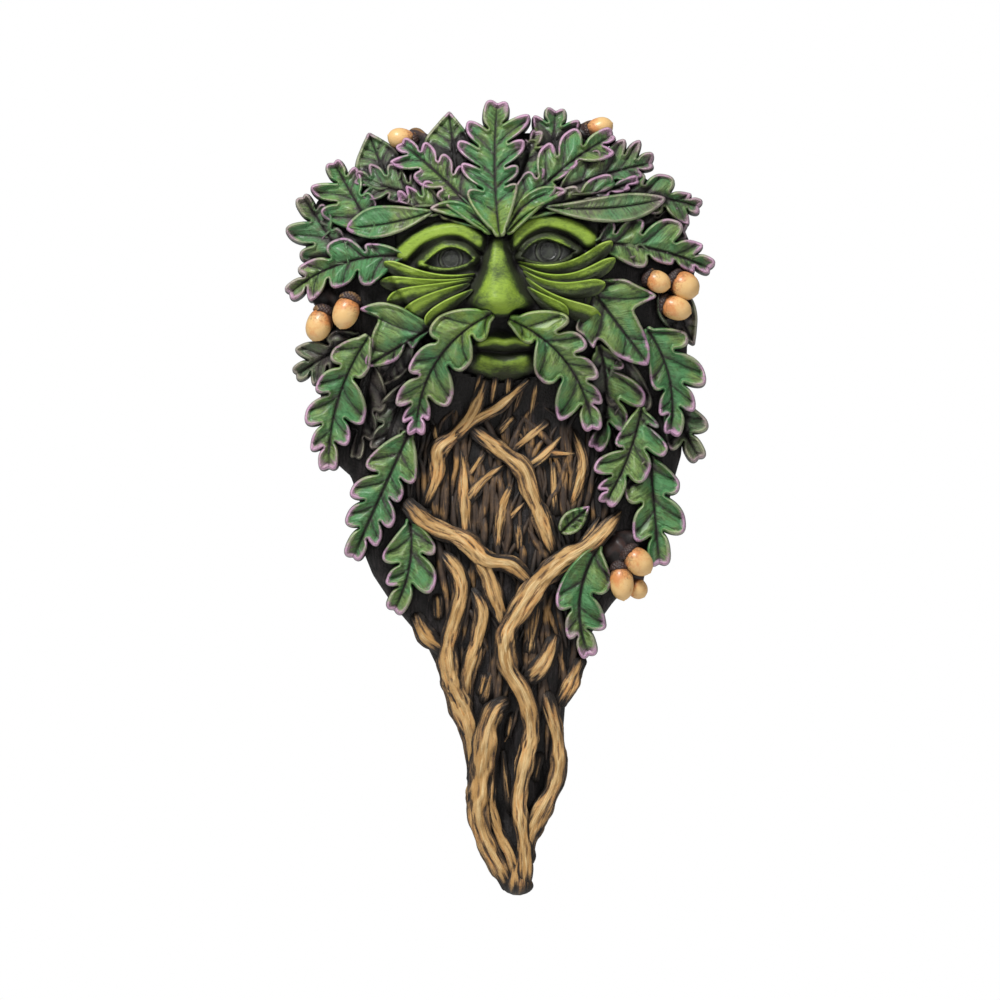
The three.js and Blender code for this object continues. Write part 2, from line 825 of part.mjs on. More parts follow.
// A root: a round back that runs along its line and stands on the wall plane.
function rootSolid({ run, radius, lift }) {
  const line = lineThrough(run);
  const steps = Math.max(3, run.length - 1);
  const arc = [0, 60, 120, 180].map((degrees) => THREE.MathUtils.degToRad(degrees));
  const points = [];
  const triangles = [];
  for (let i = 0; i <= steps; i += 1) {
    const t = i / steps;
    const middle = line.getPoint(t);
    const tangent = line.getTangent(t);
    const side = new THREE.Vector2(tangent.y, -tangent.x);
    const k = t * (radius.length - 1);
    const before = Math.min(Math.floor(k), radius.length - 2);
    const r = THREE.MathUtils.lerp(radius[before], radius[before + 1], k - before);
    const depth = groundDepth(middle.x, middle.y) + lift;
    const ends = i === 0 || i === steps ? 0.55 : 1;
    const ring = arc.map((angle) => [Math.cos(angle) * r * ends, depth + Math.sin(angle) * r * ends]);
    for (const [out, d] of [[ring[0][0], -BEHIND], ...ring, [ring[arc.length - 1][0], -BEHIND]]) {
      points.push([middle.x + side.x * out, middle.y + side.y * out, d]);
    }
  }
  const around = arc.length + 2;
  for (let i = 0; i < steps; i += 1) {
    for (let k = 0; k < around; k += 1) {
      const a = i * around + k;
      const b = i * around + ((k + 1) % around);
      triangles.push([a, a + around, b + around], [a, b + around, b]);
    }
  }
  for (let k = 1; k + 1 < around; k += 1) {
    const end = steps * around;
    triangles.push([0, k, k + 1], [end, end + k + 1, end + k]);
  }
  return solid(points, triangles);
}

// A round mound standing on the wall plane.
function moundSolid({ at, half, depth }) {
  const sides = 7;
  const rings = [[1, 0], [0.6, 0.75]];
  const points = [];
  const triangles = [];
  for (const [reach, rise] of rings) {
    for (let k = 0; k < sides; k += 1) {
      const angle = (2 * Math.PI * k) / sides;
      points.push([
        at[0] + half[0] * reach * Math.cos(angle),
        at[1] + half[1] * reach * Math.sin(angle),
        depth * (0.55 + 0.45 * rise),
      ]);
    }
  }
  points.push([at[0], at[1], depth]);
  const top = points.length - 1;
  for (let ring = 0; ring < rings.length; ring += 1) {
    for (let k = 0; k < sides; k += 1) {
      const next = (k + 1) % sides;
      const a = ring * sides + k;
      const b = ring * sides + next;
      if (ring === rings.length - 1) triangles.push([a, b, top]);
      else triangles.push([a, b, b + sides], [a, b + sides, a + sides]);
    }
  }
  closeOntoWall(points, triangles, [...Array(sides).keys()]);
  return solid(points, triangles);
}

// An acorn lying on the leaves: a cup round its near end, and a nut that comes to a small point.
function acornSolid({ at, size, turn, lift }) {
  const [half, wide] = size;
  const cup = [[0, -1.12 * half], [0.88 * wide, -0.85 * half], [1.12 * wide, -0.3 * half]];
  const nut = [[0.94 * wide, -0.2 * half], [0.84 * wide, 0.48 * half], [0, 1.04 * half]];
  const profile = [...cup, ...nut].map(([r, y]) => new THREE.Vector2(r * UNIT, y * UNIT));
  const depth = groundDepth(at[0], at[1]) + lift;
  const around = new THREE.LatheGeometry(profile, 7);
  around.rotateZ(-Math.PI / 2);
  around.rotateY(-THREE.MathUtils.degToRad(turn));
  around.translate(at[0] * UNIT, -depth * UNIT, at[1] * UNIT);
  return solidOf(around);
}

// How far the face stands off the ground: brow, eyes, nose, cheeks, lips and chin.
function faceRelief(x, z) {
  const hill = (cx, cz, rx, rz) => Math.exp(-(((x - cx) / rx) ** 2) - ((z - cz) / rz) ** 2);
  const along = (run, radius) => Math.exp(-((distanceTo(run, x, z) / radius) ** 2));
  let depth = FACE_LIFT;
  BROWS.forEach((run) => (depth += 11 * along(run, 11)));
  EYES.forEach(([cx, cz]) => {
    depth -= 15 * hill(cx, cz, 40, 20);
    depth += 9 * hill(cx, cz, 24, 15);
  });
  depth -= 6 * hill(-20, 36, 9, 14) + 6 * hill(18, 40, 9, 14);
  [...UPPER_LIDS, ...LOWER_LIDS].forEach((run) => (depth += 4 * along(run, 4)));
  depth += 9 * hill(-62, 2, 34, 24) + 9 * hill(66, 6, 34, 24);
  const [middle, half, rise] = alongRows(NOSE_LINE, z);
  const beside = Math.abs(x - middle) / half;
  if (z > -20 && z < 62) depth += rise * Math.exp(-(beside ** 2.6));
  depth += 14 * hill(-19, -6, 8, 8) + 14 * hill(24, -8, 8, 8);
  depth -= 7 * hill(2, -27, 12, 8);
  LIPS.forEach(({ run, radius, height }) => (depth += height * along(run, radius)));
  depth -= 3 * along([[-26, -51], [3, -53], [30, -51]], 3);
  depth += 9 * hill(4, -80, 24, 11);
  return depth;
}

function faceSolid() {
  const depthAt = (x, z) => groundDepth(x, z) + faceRelief(x, z);
  return reliefBlock(FACE_ROWS.map((z) => FACE_COLUMNS.map((x) => [x, z, depthAt(x, z)])));
}

// The recess that a screw head drops into: a round entry, a slot for the neck
// and a wider channel behind the lip.
function keyholeSolid() {
  const margin = 1;
  const hole = SCREW_HEAD_HOLE / 2;
  const neck = SCREW_NECK_SLOT / 2;
  const slotTop = HANGING_HEIGHT + SCREW_TRAVEL;
  const upright = (radius, from, to, height) => {
    const round = new THREE.CylinderGeometry(radius, radius, from - to, 24);
    return solidOf(round.translate(0, (from + to) / 2, height));
  };
  const channel = (half, from, to) => {
    const box = new THREE.BoxGeometry(2 * half, from - to, SCREW_TRAVEL);
    const run = solidOf(box.translate(0, (from + to) / 2, HANGING_HEIGHT + SCREW_TRAVEL / 2));
    return run.add(upright(half, from, to, slotTop));
  };
  const entry = upright(hole, margin, -KEYHOLE_DEPTH, HANGING_HEIGHT);
  const slot = channel(neck, margin, -KEYHOLE_LIP - margin);
  const pocket = channel(hole, -KEYHOLE_LIP, -KEYHOLE_DEPTH);
  return entry.add(slot).add(pocket);
}

// Everything behind the wall plane.
function wallSide() {
  const size = 2 * HEIGHT;
  return solidOf(new THREE.BoxGeometry(size, size, size).translate(0, size / 2, 0));
}

function plaque() {
  const cheekLeaves = CHEEK_LEAVES.map(({ width, ...leaf }) => ({
    ...leaf,
    kind: "lance",
    width: [width, width],
    lift: CHEEK_LEAF_LIFT,
    onFace: true,
  }));
  const carved = [
    faceSolid(),
    ...[...cheekLeaves, ...LEAVES].map(leafSolid),
    ...ROOTS.map(rootSolid),
    ...TWIG_KNOTS.map(moundSolid),
    ...ACORNS.map(acornSolid),
  ];
  const whole = carved.reduce((sum, next) => sum.add(next), groundSolid());
  return withoutPockets(whole.subtract(wallSide()).subtract(keyholeSolid()));
}

// The cast is solid throughout, so a pocket closed in between leaves is filled:
// only the outer skin is kept.
function withoutPockets(shape) {
  return shape.decompose().reduce((best, skin) => (skin.volume() > best.volume() ? skin : best));
}

function meshOf(name, shape, material) {
  const { vertProperties, triVerts } = shape.getMesh();
  const geometry = new THREE.BufferGeometry();
  geometry.setAttribute("position", new THREE.BufferAttribute(vertProperties, 3));
  geometry.setIndex(new THREE.BufferAttribute(triVerts, 1));
  geometry.computeVertexNormals();
  const mesh = new THREE.Mesh(geometry, material);
  mesh.name = name;
  return mesh;
}

const paintedResin = new THREE.MeshStandardMaterial({ color: 0x3f6138, roughness: 0.6, metalness: 0 });

const part = new THREE.Group();
part.add(meshOf("green_man_plaque", plaque(), paintedResin));

export default part;
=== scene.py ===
import math

import bmesh
import bpy
import numpy as np
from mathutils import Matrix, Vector
from mathutils.geometry import delaunay_2d_cdt


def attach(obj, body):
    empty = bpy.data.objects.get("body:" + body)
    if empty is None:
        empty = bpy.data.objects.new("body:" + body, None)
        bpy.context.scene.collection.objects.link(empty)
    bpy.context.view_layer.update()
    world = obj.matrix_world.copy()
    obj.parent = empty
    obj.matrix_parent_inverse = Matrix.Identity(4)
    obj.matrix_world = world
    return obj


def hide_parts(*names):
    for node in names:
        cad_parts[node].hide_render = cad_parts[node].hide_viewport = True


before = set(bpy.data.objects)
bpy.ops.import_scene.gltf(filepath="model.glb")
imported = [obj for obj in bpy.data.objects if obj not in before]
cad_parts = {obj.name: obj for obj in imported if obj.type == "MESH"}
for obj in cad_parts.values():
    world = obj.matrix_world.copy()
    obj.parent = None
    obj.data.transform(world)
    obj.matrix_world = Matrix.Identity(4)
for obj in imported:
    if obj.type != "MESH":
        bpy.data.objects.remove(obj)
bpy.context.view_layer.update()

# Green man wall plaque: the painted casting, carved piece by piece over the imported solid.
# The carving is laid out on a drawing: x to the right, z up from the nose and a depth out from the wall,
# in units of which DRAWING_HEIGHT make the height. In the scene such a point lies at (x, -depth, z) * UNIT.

# Driving sizes, in metres
HEIGHT = 0.4
SCREW_HEAD_HOLE = 0.011
SCREW_NECK_SLOT = 0.005
SCREW_TRAVEL = 0.012
KEYHOLE_LIP = 0.003
KEYHOLE_DEPTH = 0.008
HANGING_HEIGHT = 0.046

# Sizes on the drawing, in its own units
DRAWING_HEIGHT = 800
UNIT = HEIGHT / DRAWING_HEIGHT
OUTLINE_STEP = 1.25
WALL_FLARE = 1.2
BURIED = 8
RIB_VALLEY = 3
CHEEK_LEAF_LIFT = (4, 9)
FACE_LIFT = 3
FACE_STEP = 0.8
FACE_BACK = 12
ROOT_REACH = {"top": 5, "left": 5, "middle": 4, "right": 4, "small": 4, "chin": 6}
GROUND_MAP = ((-220, -600), (220, 170))

# Shares
VEIN_LEAN = (0.3, 0.55)
LOBE_FILL = 0.93
ROOT_SHADE = {"small": 0.25, "back": 0.5, "chin": 0.35}
ROOT_SWELL = {"tip": 1.12, "great_root": 1.08, "small": 1.0, "chin": 1.0}

# Angles in degrees: creases sharper than this, how far a root's back reaches round, lean of an acorn's tip
SHARP_EDGE = 50
ROOT_SPREAD = 112
ACORN_LEAN = 12

# Numbers of points and things
CURVE_STEPS = 6
FACE_AVERAGE = 53
ROOT_SIDES = 41
ROOTLETS = 190
TURNED_SIDES = 28
CUP_SCALES = 70
GROUND_NET = (250, 90)

# Strips of the bake map: start and height of the front's and the back's, top and height of a wall's
FRONT_STRIP = (0.01, 0.78)
BACK_STRIP = (0.95, 0.04)
WALLS_TOP = 0.93
WALL_STRIP = 0.04

# Leaves by kind: spacing of points, puff between the veins, cuts at veins and inside the rim, roll of the
# rim, wave of the blade, how dark side veins are painted and the painted shade in the hollows beside them
BROAD_LEAF = {
    "step": 1.5, "puff": 6.5, "vein_cut": 1.0, "rim_cut": 1.6, "roll": 2.6, "wave": 2.4,
    "vein_line": 0.8, "shade": 0.55,
}
SLIM_LEAF = {
    "step": 1.7, "puff": 2.5, "vein_cut": 0.3, "rim_cut": 0.8, "roll": 1.4, "wave": 0.6,
    "vein_line": 0.35, "shade": 0.3,
}

# The view, in metres
CAMERA_DISTANCE = 4.0
PICTURE_WIDTH = 0.5
PICTURE_CENTRE_Z = -0.1
CARVING_PLANE = 0.03

# Floor: radius, level and number of sides. Lamps: name, place, size and power
FLOOR = (1.4, -0.62, 96)
FLOOR_GREY = (0.85, 0.85, 0.84, 1)
SOFT_LIGHT = 0.32
LAMPS = [
    ("key_light", (-0.7, -1.3, 1.6), 0.6, 53),
    ("fill_light", (1.3, -1.8, 0.2), 1.2, 6),
]

# Paint colours, as seen on the casting
EMERALD = (80, 136, 84)
SAP_GREEN = (120, 144, 74)
FRESH_GREEN = (148, 184, 122)
GREY_GREEN = (100, 106, 88)
LEAF_SHADE = (38, 44, 34)
LILAC = (212, 160, 200)
DEEP_GREEN = (54, 80, 50)
PALE_EDGE = (168, 178, 146)
PLUM_BLUSH = (100, 84, 88)
DUSTY_LILAC = (172, 138, 158)
LIME = (150, 180, 58)
PALE_LIME = (184, 206, 104)
PALE_SAGE = (188, 186, 156)
MOSS = (78, 98, 40)
OLIVE_SHADE = (44, 50, 28)
# Near-black of the dark wash, the bed and the bark's grain, also laid as painted shade in hollows and on
# sides
SHADE_AND_WASH_BLACK = (19, 16, 15)
PLUM_GREY = (54, 47, 48)
ROOT_CREAM = (238, 212, 158)
ROOT_TAN = (214, 176, 118)
ROOT_OCHRE = (184, 140, 82)
ROOT_ORANGE = (214, 142, 66)
ROOT_BROWN = (92, 72, 54)
BARK_DARK = (56, 44, 36)
PLUM_SHADE = (76, 66, 68)
ACORN_CREAM = (222, 182, 122)
ACORN_ORANGE = (206, 136, 80)
CUP_BROWN = (60, 40, 34)
EYE_GREY = (36, 37, 36)
BACK_GREY = (58, 55, 52)


def leaf(name, stem, tip, lift, kind="oak", width=(0, 0), left=(), right=(), rim=(), bay=0.42, bow=0.0,
         dull=0.15, on_face=False):
    return {
        "name": name, "stem": stem, "tip": tip, "lift": lift, "kind": kind, "width": width, "rim": rim,
        "left": left, "right": right, "bay": bay, "bow": bow, "dull": dull, "on_face": on_face,
    }


# Leaves from the wall outwards: stem, tip, tips of the lobes on both sides, and lift at stem and tip
LEAVES = [
    leaf("crown_left_back", (-44, 128), (-51, 190), lift=(3, 3), kind="ovate", width=(31, 18), dull=0.35),
    leaf("crown_left_point", (-110, 112), (-132, 169), lift=(3, 4), kind="ovate", width=(27, 22),
         dull=0.5),
    leaf("crown_right_back", (50, 108), (56, 191), lift=(3, 4), left=[(24, 150), (33, 183)],
         right=[(84, 148), (80, 178)], bay=0.50, dull=0.35),
    leaf("crown_right_fill", (10, 92), (36, 170), lift=(11, 11), left=[(12, 138), (22, 158)],
         right=[(44, 122), (50, 150)], bay=0.52, dull=0.25),
    leaf("left_temple_fill", (-118, 62), (-178, 84), lift=(3, 4), left=[(-150, 44), (-178, 58)],
         right=[(-140, 92)], bay=0.52, dull=0.7),
    leaf("right_temple_fill", (98, 66), (186, 70), lift=(3, 4), left=[(120, 96), (150, 98), (176, 94)],
         right=[(128, 40), (164, 44)], bay=0.52, dull=0.6),
    leaf("right_edge_top", (164, 12), (195, -44), lift=(3, 3), kind="ovate", width=(20, 18), dull=0.8),
    leaf("left_edge_dark", (-140, -34), (-205, -74), lift=(8, 9), left=[(-160, -72), (-184, -84)],
         right=[(-166, -30), (-203, -46)], bay=0.44, dull=0.75),
    leaf("left_upper_oak", (-126, 66), (-167, 139), lift=(9, 14), left=[(-178, 84), (-189, 110)],
         right=[(-124, 100), (-142, 131)], bay=0.46, dull=0.3),
    leaf("left_edge_oak", (-152, 34), (-198, 105), lift=(8, 10), left=[(-199, 41), (-213, 66)],
         right=[(-156, 66), (-172, 92)], bay=0.48, dull=0.45),
    leaf("right_upper_oak", (118, 106), (200, 94), lift=(8, 11),
         left=[(140, 128), (163, 127), (190, 108)], right=[(150, 86), (187, 76)], bay=0.48, bow=0.04,
         dull=0.4),
    leaf("right_edge_back", (166, -94), (200, -159), lift=(3, 4), left=[(207, -119)],
         right=[(168, -146)], dull=0.6),
    leaf("crown_left_frill", (-14, 72), (-102, 100), lift=(10, 12),
         left=[(-52, 78), (-78, 84)], right=[(-44, 108), (-68, 118), (-92, 114)], bay=0.50, dull=0.1),
    leaf("crown_left_lower", (-58, 96), (-145, 122), lift=(9, 11),
         left=[(-88, 92), (-107, 97), (-134, 100)], right=[(-84, 128), (-104, 136), (-128, 137)], bay=0.48,
         dull=0.5),
    leaf("crown_right_outer", (56, 106), (153, 138), lift=(9, 12),
         left=[(92, 150), (122, 162), (138, 161)], right=[(100, 106), (140, 122)], bay=0.48, bow=0.03,
         dull=0.45),
    leaf("crown_right_mid", (26, 84), (139, 120), lift=(12, 14), left=[(66, 112), (98, 124)],
         right=[(78, 92), (102, 100), (126, 108)], bay=0.48, dull=0.3),
    leaf("crown_left_oak", (-8, 66), (-99, 158), lift=(14, 18),
         left=[(-60, 98), (-82, 116), (-109, 136)], right=[(-36, 132), (-51, 143), (-70, 156)], bay=0.46,
         bow=-0.03),
    leaf("crown_right_oak", (5, 66), (114, 166), lift=(14, 18), left=[(22, 124), (45, 155), (66, 168)],
         right=[(48, 98), (71, 128), (112, 144)], bay=0.46, bow=0.06),
    leaf("brow_left_long", (-66, 88), (-154, 72), lift=(16, 17), kind="lance", width=(13, 19),
         bow=0.04, dull=0.3),
    leaf("brow_right_long", (44, 92), (166, 102), lift=(20, 20), kind="lance", width=(13, 15),
         bow=-0.05, dull=0.5),
    leaf("brow_left_inner", (-8, 64), (-70, 90), lift=(20, 20), kind="lance", width=(8, 8), bow=-0.16),
    leaf("brow_right_inner", (6, 66), (67, 108), lift=(20, 20), kind="lance", width=(9, 9), bow=0.16),
    leaf("crown_centre", (0, 62), (-2, 198), lift=(21, 25),
         left=[(-33, 103), (-39, 133), (-43, 154), (-34, 173)],
         right=[(18, 112), (19, 129), (25, 154), (30, 182)], bow=0.03),
    leaf("left_cheek_oak", (-96, 43), (-212, 7), lift=(8, 18),
         left=[(-130, 14), (-158, 13), (-187, 0)], right=[(-130, 57), (-160, 62), (-197, 37)],
         bay=0.42, bow=-0.1),
    leaf("right_temple_oak", (94, 56), (211, 31), lift=(7, 18),
         left=[(108, 79), (137, 82), (173, 81), (200, 58)], right=[(136, 32), (163, 36), (190, 28)],
         bay=0.46, bow=0.06),
    leaf("left_beard_shade", (-92, -80), (-124, -172), lift=(3, 4), left=[(-84, -124), (-100, -152)],
         right=[(-124, -108), (-130, -140)], bay=0.48, dull=0.85),
    leaf("left_gap_leaf", (-128, -60), (-146, -158), lift=(2, 2), left=[(-112, -100), (-124, -134)],
         right=[(-150, -110)], bay=0.50, dull=0.95),
    leaf("right_gap_leaf", (122, -52), (134, -160), lift=(2, 2), left=[(152, -96), (150, -134)],
         right=[(104, -92), (112, -132)], bay=0.50, dull=0.9),
    leaf("left_mid_dark", (-92, -40), (-122, -88), lift=(3, 3), kind="ovate", width=(17, 17), dull=0.85),
    leaf("left_mid_leaf", (-68, -28), (-134, -66), lift=(9, 13), kind="ivy", left=[(-88, -48), (-107, -61)],
         right=[(-139, -10), (-130, -48)], dull=0.2,
         rim=[(-68, -28), (-90, -12), (-106, -5), (-122, -3), (-140, -9), (-129, -15), (-122, -20),
              (-127, -33), (-131, -48), (-135, -65), (-119, -66), (-104, -61), (-97, -52), (-93, -43),
              (-87, -50), (-80, -41)]),
    leaf("right_mid_oak", (98, -44), (93, -148), lift=(7, 10),
         left=[(124, -64), (146, -98), (128, -125)], right=[(85, -78), (92, -120)], bow=0.1),
    leaf("right_outer_oak", (146, -28), (170, -134), lift=(10, 14),
         left=[(186, -32), (206, -75), (196, -105)], right=[(150, -80), (159, -110)], bow=0.11),
    leaf("right_cheek_leaf", (88, 14), (148, -65), lift=(7, 18), kind="ivy",
         left=[(122, 20), (155, 3), (148, -40)], right=[(77, -30), (93, -47), (122, -59)],
         rim=[(86, 14), (82, -8), (75, -29), (84, -38), (93, -49), (98, -40), (106, -46), (113, -54),
              (124, -60), (136, -64), (148, -65), (150, -53), (148, -42), (144, -32), (138, -20),
              (134, -10), (144, -3), (156, 3), (151, 8), (136, 15), (125, 20), (111, 21), (98, 20)]),
    leaf("left_beard_outer", (-131, -36), (-172, -169), lift=(16, 19),
         left=[(-130, -68), (-135, -119), (-150, -138)],
         right=[(-167, -49), (-184, -84), (-195, -113), (-190, -146)], bow=-0.08),
    leaf("right_lower_outer", (150, -154), (160, -265), lift=(8, 11), left=[(180, -182), (186, -222)],
         right=[(124, -188), (133, -234)]),
    leaf("right_lower_inner", (142, -106), (105, -203), lift=(12, 16),
         left=[(160, -126), (168, -150), (150, -172)], right=[(116, -138), (95, -164), (98, -187)],
         bow=0.05),
    leaf("left_beard_inner", (-90, -130), (-148, -258), lift=(11, 15),
         left=[(-84, -179), (-98, -198), (-106, -223), (-120, -242)],
         right=[(-133, -159), (-149, -189), (-153, -214)]),
    leaf("beard_left_low", (-91, -218), (-107, -311), lift=(8, 13), left=[(-64, -248), (-64, -282)],
         right=[(-118, -254), (-114, -279)], bow=0.09),
    leaf("beard_right_low", (100, -244), (89, -357), lift=(11, 15), left=[(113, -281), (106, -324)],
         right=[(56, -296), (66, -333)], bow=-0.13),
    leaf("beard_bud", (61, -232), (90, -206), lift=(9, 9), kind="ovate", width=(11, 11)),
    leaf("moustache_left", (-7, -14), (-84, -133), lift=(17, 24),
         left=[(-14, -40), (-31, -66), (-48, -100), (-70, -118)],
         right=[(-61, -17), (-89, -62), (-104, -99), (-98, -120)], bow=-0.15),
    leaf("moustache_right", (9, -20), (93, -130), lift=(17, 24),
         left=[(65, -15), (83, -38), (96, -68), (102, -98)], right=[(22, -42), (38, -78), (57, -117)],
         bow=0.14),
]

# Slim leaves that fan over the cheeks from beside the nose: stem, tip, half width, bow
CHEEK_LEAVES = [
    ((-25, 25), (-116, 37), 7, 0.11),
    ((-27, 21), (-120, 18), 7.5, 0.06),
    ((-29, 19), (-113, -2), 9.5, 0.02),
    ((-30, 15), (-98, -22), 10, -0.03),
    ((-27, 9), (-74, -26), 8, -0.03),
    ((18, 37), (112, 58), 7.5, -0.17),
    ((19, 34), (115, 41), 7.5, -0.19),
    ((23, 28), (105, 16), 8.5, -0.15),
    ((26, 21), (101, -17), 9, -0.1),
    ((27, 12), (68, -17), 8.5, -0.04),
]

# Roots of the beard: group, run, radius along it, and lift of its middle off the ground
ROOTS = [
    ("top", [(46, -123), (13, -150)], (5, 5), 0),
    ("middle", [(13, -184), (2, -208), (-3, -251)], (4, 6, 4), 0),
    ("right", [(73, -131), (83, -159), (78, -186), (70, -208)], (3, 6, 6, 3), 1),
    ("left", [(-38, -150), (-36, -175), (-36, -204), (-34, -240)], (3, 6, 8, 7), 1),
    ("top", [(4, -165), (-18, -182), (-32, -203)], (3, 5, 6), 2),
    ("top", [(26, -82), (0, -106), (-23, -119), (-45, -137)], (3, 5, 5, 6), 5),
    ("left", [
        (-16, -83), (-27, -113), (-45, -135), (-61, -150), (-63, -175), (-74, -204),
    ], (5, 6, 7, 9, 7, 3), 3),
    ("top", [(62, -135), (44, -155), (26, -167)], (2, 4, 6), 3),
    ("middle", [
        (-27, -130), (-3, -148), (22, -168), (30, -190), (40, -215), (54, -256),
    ], (5, 8, 9, 9, 8, 4), 5),
    ("low_middle", [(-29, -286), (-18, -311), (-23, -342), (-32, -376), (-34, -408)], (4, 8, 8, 7, 5), 1),
    ("low_left", [
        (-60, -250), (-43, -271), (-38, -293), (-45, -320), (-52, -349), (-48, -383), (-38, -420),
    ], (4, 8, 7, 8, 10, 9, 6), 3),
    ("low_left", [(-86, -312), (-74, -336), (-54, -352)], (5, 9, 8), 2),
    ("low_right", [(56, -333), (44, -362), (24, -385)], (7, 10, 7), 1),
    ("low_right", [(82, -356), (71, -383), (58, -408)], (7, 8, 6), 1),
    ("low_left", [(-54, -362), (-46, -400), (-27, -440)], (7, 8, 7), 4),
    ("middle", [(-30, -245), (-14, -271), (-5, -298), (6, -330)], (6, 9, 8, 5), 4),
    ("crossing", [
        (-97, -200), (-72, -224), (-36, -240), (-14, -260), (13, -266), (36, -290),
    ], (8, 8, 9, 9, 8, 4), 7),
    ("tip", [
        (44, -390), (52, -417), (56, -431), (58, -448), (58, -469), (53, -489), (46, -503), (37, -520),
        (28, -541), (23, -569),
    ], (6, 7, 7, 7, 8, 8, 9, 9, 9, 8), 2),
    ("tip", [
        (-52, -372), (-45, -390), (-39, -403), (-33, -420), (-29, -440), (-28, -462), (-27, -484),
    ], (9, 10, 10, 9, 7, 6, 5), 2),
    ("tip", [
        (10, -400), (-4, -409), (-12, -427), (-15, -448), (-18, -472), (-20, -493), (-21, -514), (-17, -534),
        (-8, -555), (3, -576), (10, -592),
    ], (5, 10, 12, 12, 12, 11.5, 11, 10, 9, 8, 6), 4),
    ("tip", [(-6, -450), (-9, -479), (-11, -500), (-6, -520), (2, -541), (10, -556), (15, -574), (17, -592)],
     (4, 5, 6, 6, 6, 6, 7, 7), 1),
    ("tip", [(19, -552), (18, -574), (17, -597)], (6, 11, 12.5), 1),
    ("chin", [(-20, -78), (-26, -104)], (4, 3), 0),
    ("chin", [(-5, -80), (-9, -106)], (4, 3), 0),
    ("chin", [(9, -81), (6, -112)], (4, 3), -1),
    ("chin", [(23, -84), (14, -112)], (4, 3), -1),
    ("chin", [(36, -84), (31, -114)], (4, 3), 0),
    ("back", [(41, -452), (34, -484)], (4, 4), -2),
    ("back", [(2, -450), (7, -490), (12, -516)], (3, 4, 4), -3),
    ("back", [(12, -412), (8, -440)], (3, 3), -1),
    ("great_root", [
        (122, -211), (93, -242), (62, -262), (38, -284), (18, -313), (6, -336), (8, -367), (22, -391),
        (29, -412), (31, -434), (27, -456), (22, -480), (19, -502), (21, -522), (24, -543), (25, -564),
        (24, -588),
    ], (3, 8, 9, 10, 11, 11, 10, 9, 9, 8, 8, 8, 8, 7, 7, 7, 7), 8),
    ("small", [(53, -162), (55, -215)], (4, 6), -1),
    ("small", [(26, -201), (4, -224)], (3, 4), 0),
    ("small", [(-15, -153), (-32, -177)], (3, 5), 1),
    ("small", [(-66, -126), (-61, -150)], (4, 5), 2),
    ("small", [(74, -154), (49, -153)], (3, 4), 3),
    ("small", [(98, -220), (79, -251)], (2, 6), 7),
    ("back", [(-63, -293), (-61, -322)], (5, 5), 0),
    ("back", [(38, -295), (33, -327), (29, -358)], (6, 6), 0),
    ("back", [(18, -222), (20, -255)], (5, 5), 0),
    ("back", [(15, -115), (-3, -135)], (5, 5), 1),
    ("back", [(-14, -373), (-20, -398)], (5, 5), 1),
    ("back", [(-7, -370), (-17, -406)], (5, 5), 1),
]

# Acorns: middle of the nut, half length and half width, direction of its tip in degrees, lift
ACORNS = [
    ((-181, -25), (17, 13), 248, 15),
    ((-154, -13), (17, 13), 250, 18),
    ((158, 18), (13, 11), 335, 13),
    ((185, 14), (15, 14), 330, 17),
    ((176, -8), (16, 12), 340, 15),
    ((-99, 162), (14, 11), 165, 6),
    ((100, 173), (14, 11), 22, 6),
    ((139, -262), (16, 13), 317, 18),
    ((122, -283), (18, 12), 276, 16),
    ((138, -289), (11, 10), 310, 6),
]
ACORN_CLUSTERS = [
    ("acorns_left", ACORNS[0:2]),
    ("acorns_right", ACORNS[2:5]),
    ("acorn_crown_left", ACORNS[5:6]),
    ("acorn_crown_right", ACORNS[6:7]),
    ("acorns_low", ACORNS[7:10]),
]

# Knots of twig and cup that the acorns grow from: middle, half sizes, depth of the top
TWIG_KNOTS = [
    ((-162, 0), (26, 26), 50),
    ((148, 10), (26, 22), 56),
    ((170, 0), (22, 24), 42),
    ((-84, 160), (16, 12), 34),
    ((88, 168), (16, 12), 34),
    ((120, -250), (22, 20), 42),
    ((128, -272), (20, 18), 34),
]

# Depth of the ground under the carving: z, middle, half width, depth at the edge and at the middle
GROUND = [
    (210, 0, 60, 22, 26),
    (170, 0, 110, 22, 44),
    (130, 0, 160, 24, 66),
    (80, 0, 192, 26, 84),
    (20, 2, 204, 28, 90),
    (-40, 2, 204, 28, 84),
    (-80, 2, 198, 28, 64),
    (-112, 2, 192, 26, 44),
    (-160, 2, 186, 26, 42),
    (-220, 2, 165, 24, 43),
    (-280, 2, 130, 22, 43),
    (-340, 4, 94, 20, 39),
    (-400, 8, 66, 18, 34),
    (-460, 14, 52, 16, 29),
    (-520, 8, 46, 16, 27),
    (-560, 14, 30, 15, 26),
    (-605, 16, 20, 14, 24),
]

# Outline of the ground: z, left edge, right edge
GROUND_EDGE = [
    (168, -58, 78),
    (150, -116, 106),
    (128, -150, 140),
    (100, -184, 174),
    (60, -196, 190),
    (20, -190, 196),
    (-10, -176, 190),
    (-40, -188, 188),
    (-110, -178, 186),
    (-155, -174, 182),
    (-176, -150, 176),
    (-210, -138, 168),
    (-250, -138, 148),
    (-275, -128, 138),
    (-305, -108, 112),
    (-345, -74, 84),
    (-400, -48, 66),
    (-440, -35, 63),
    (-480, -33, 58),
    (-520, -33, 42),
    (-550, -22, 33),
    (-576, -6, 31),
    (-588, 3, 28),
    (-595, 9, 22),
]

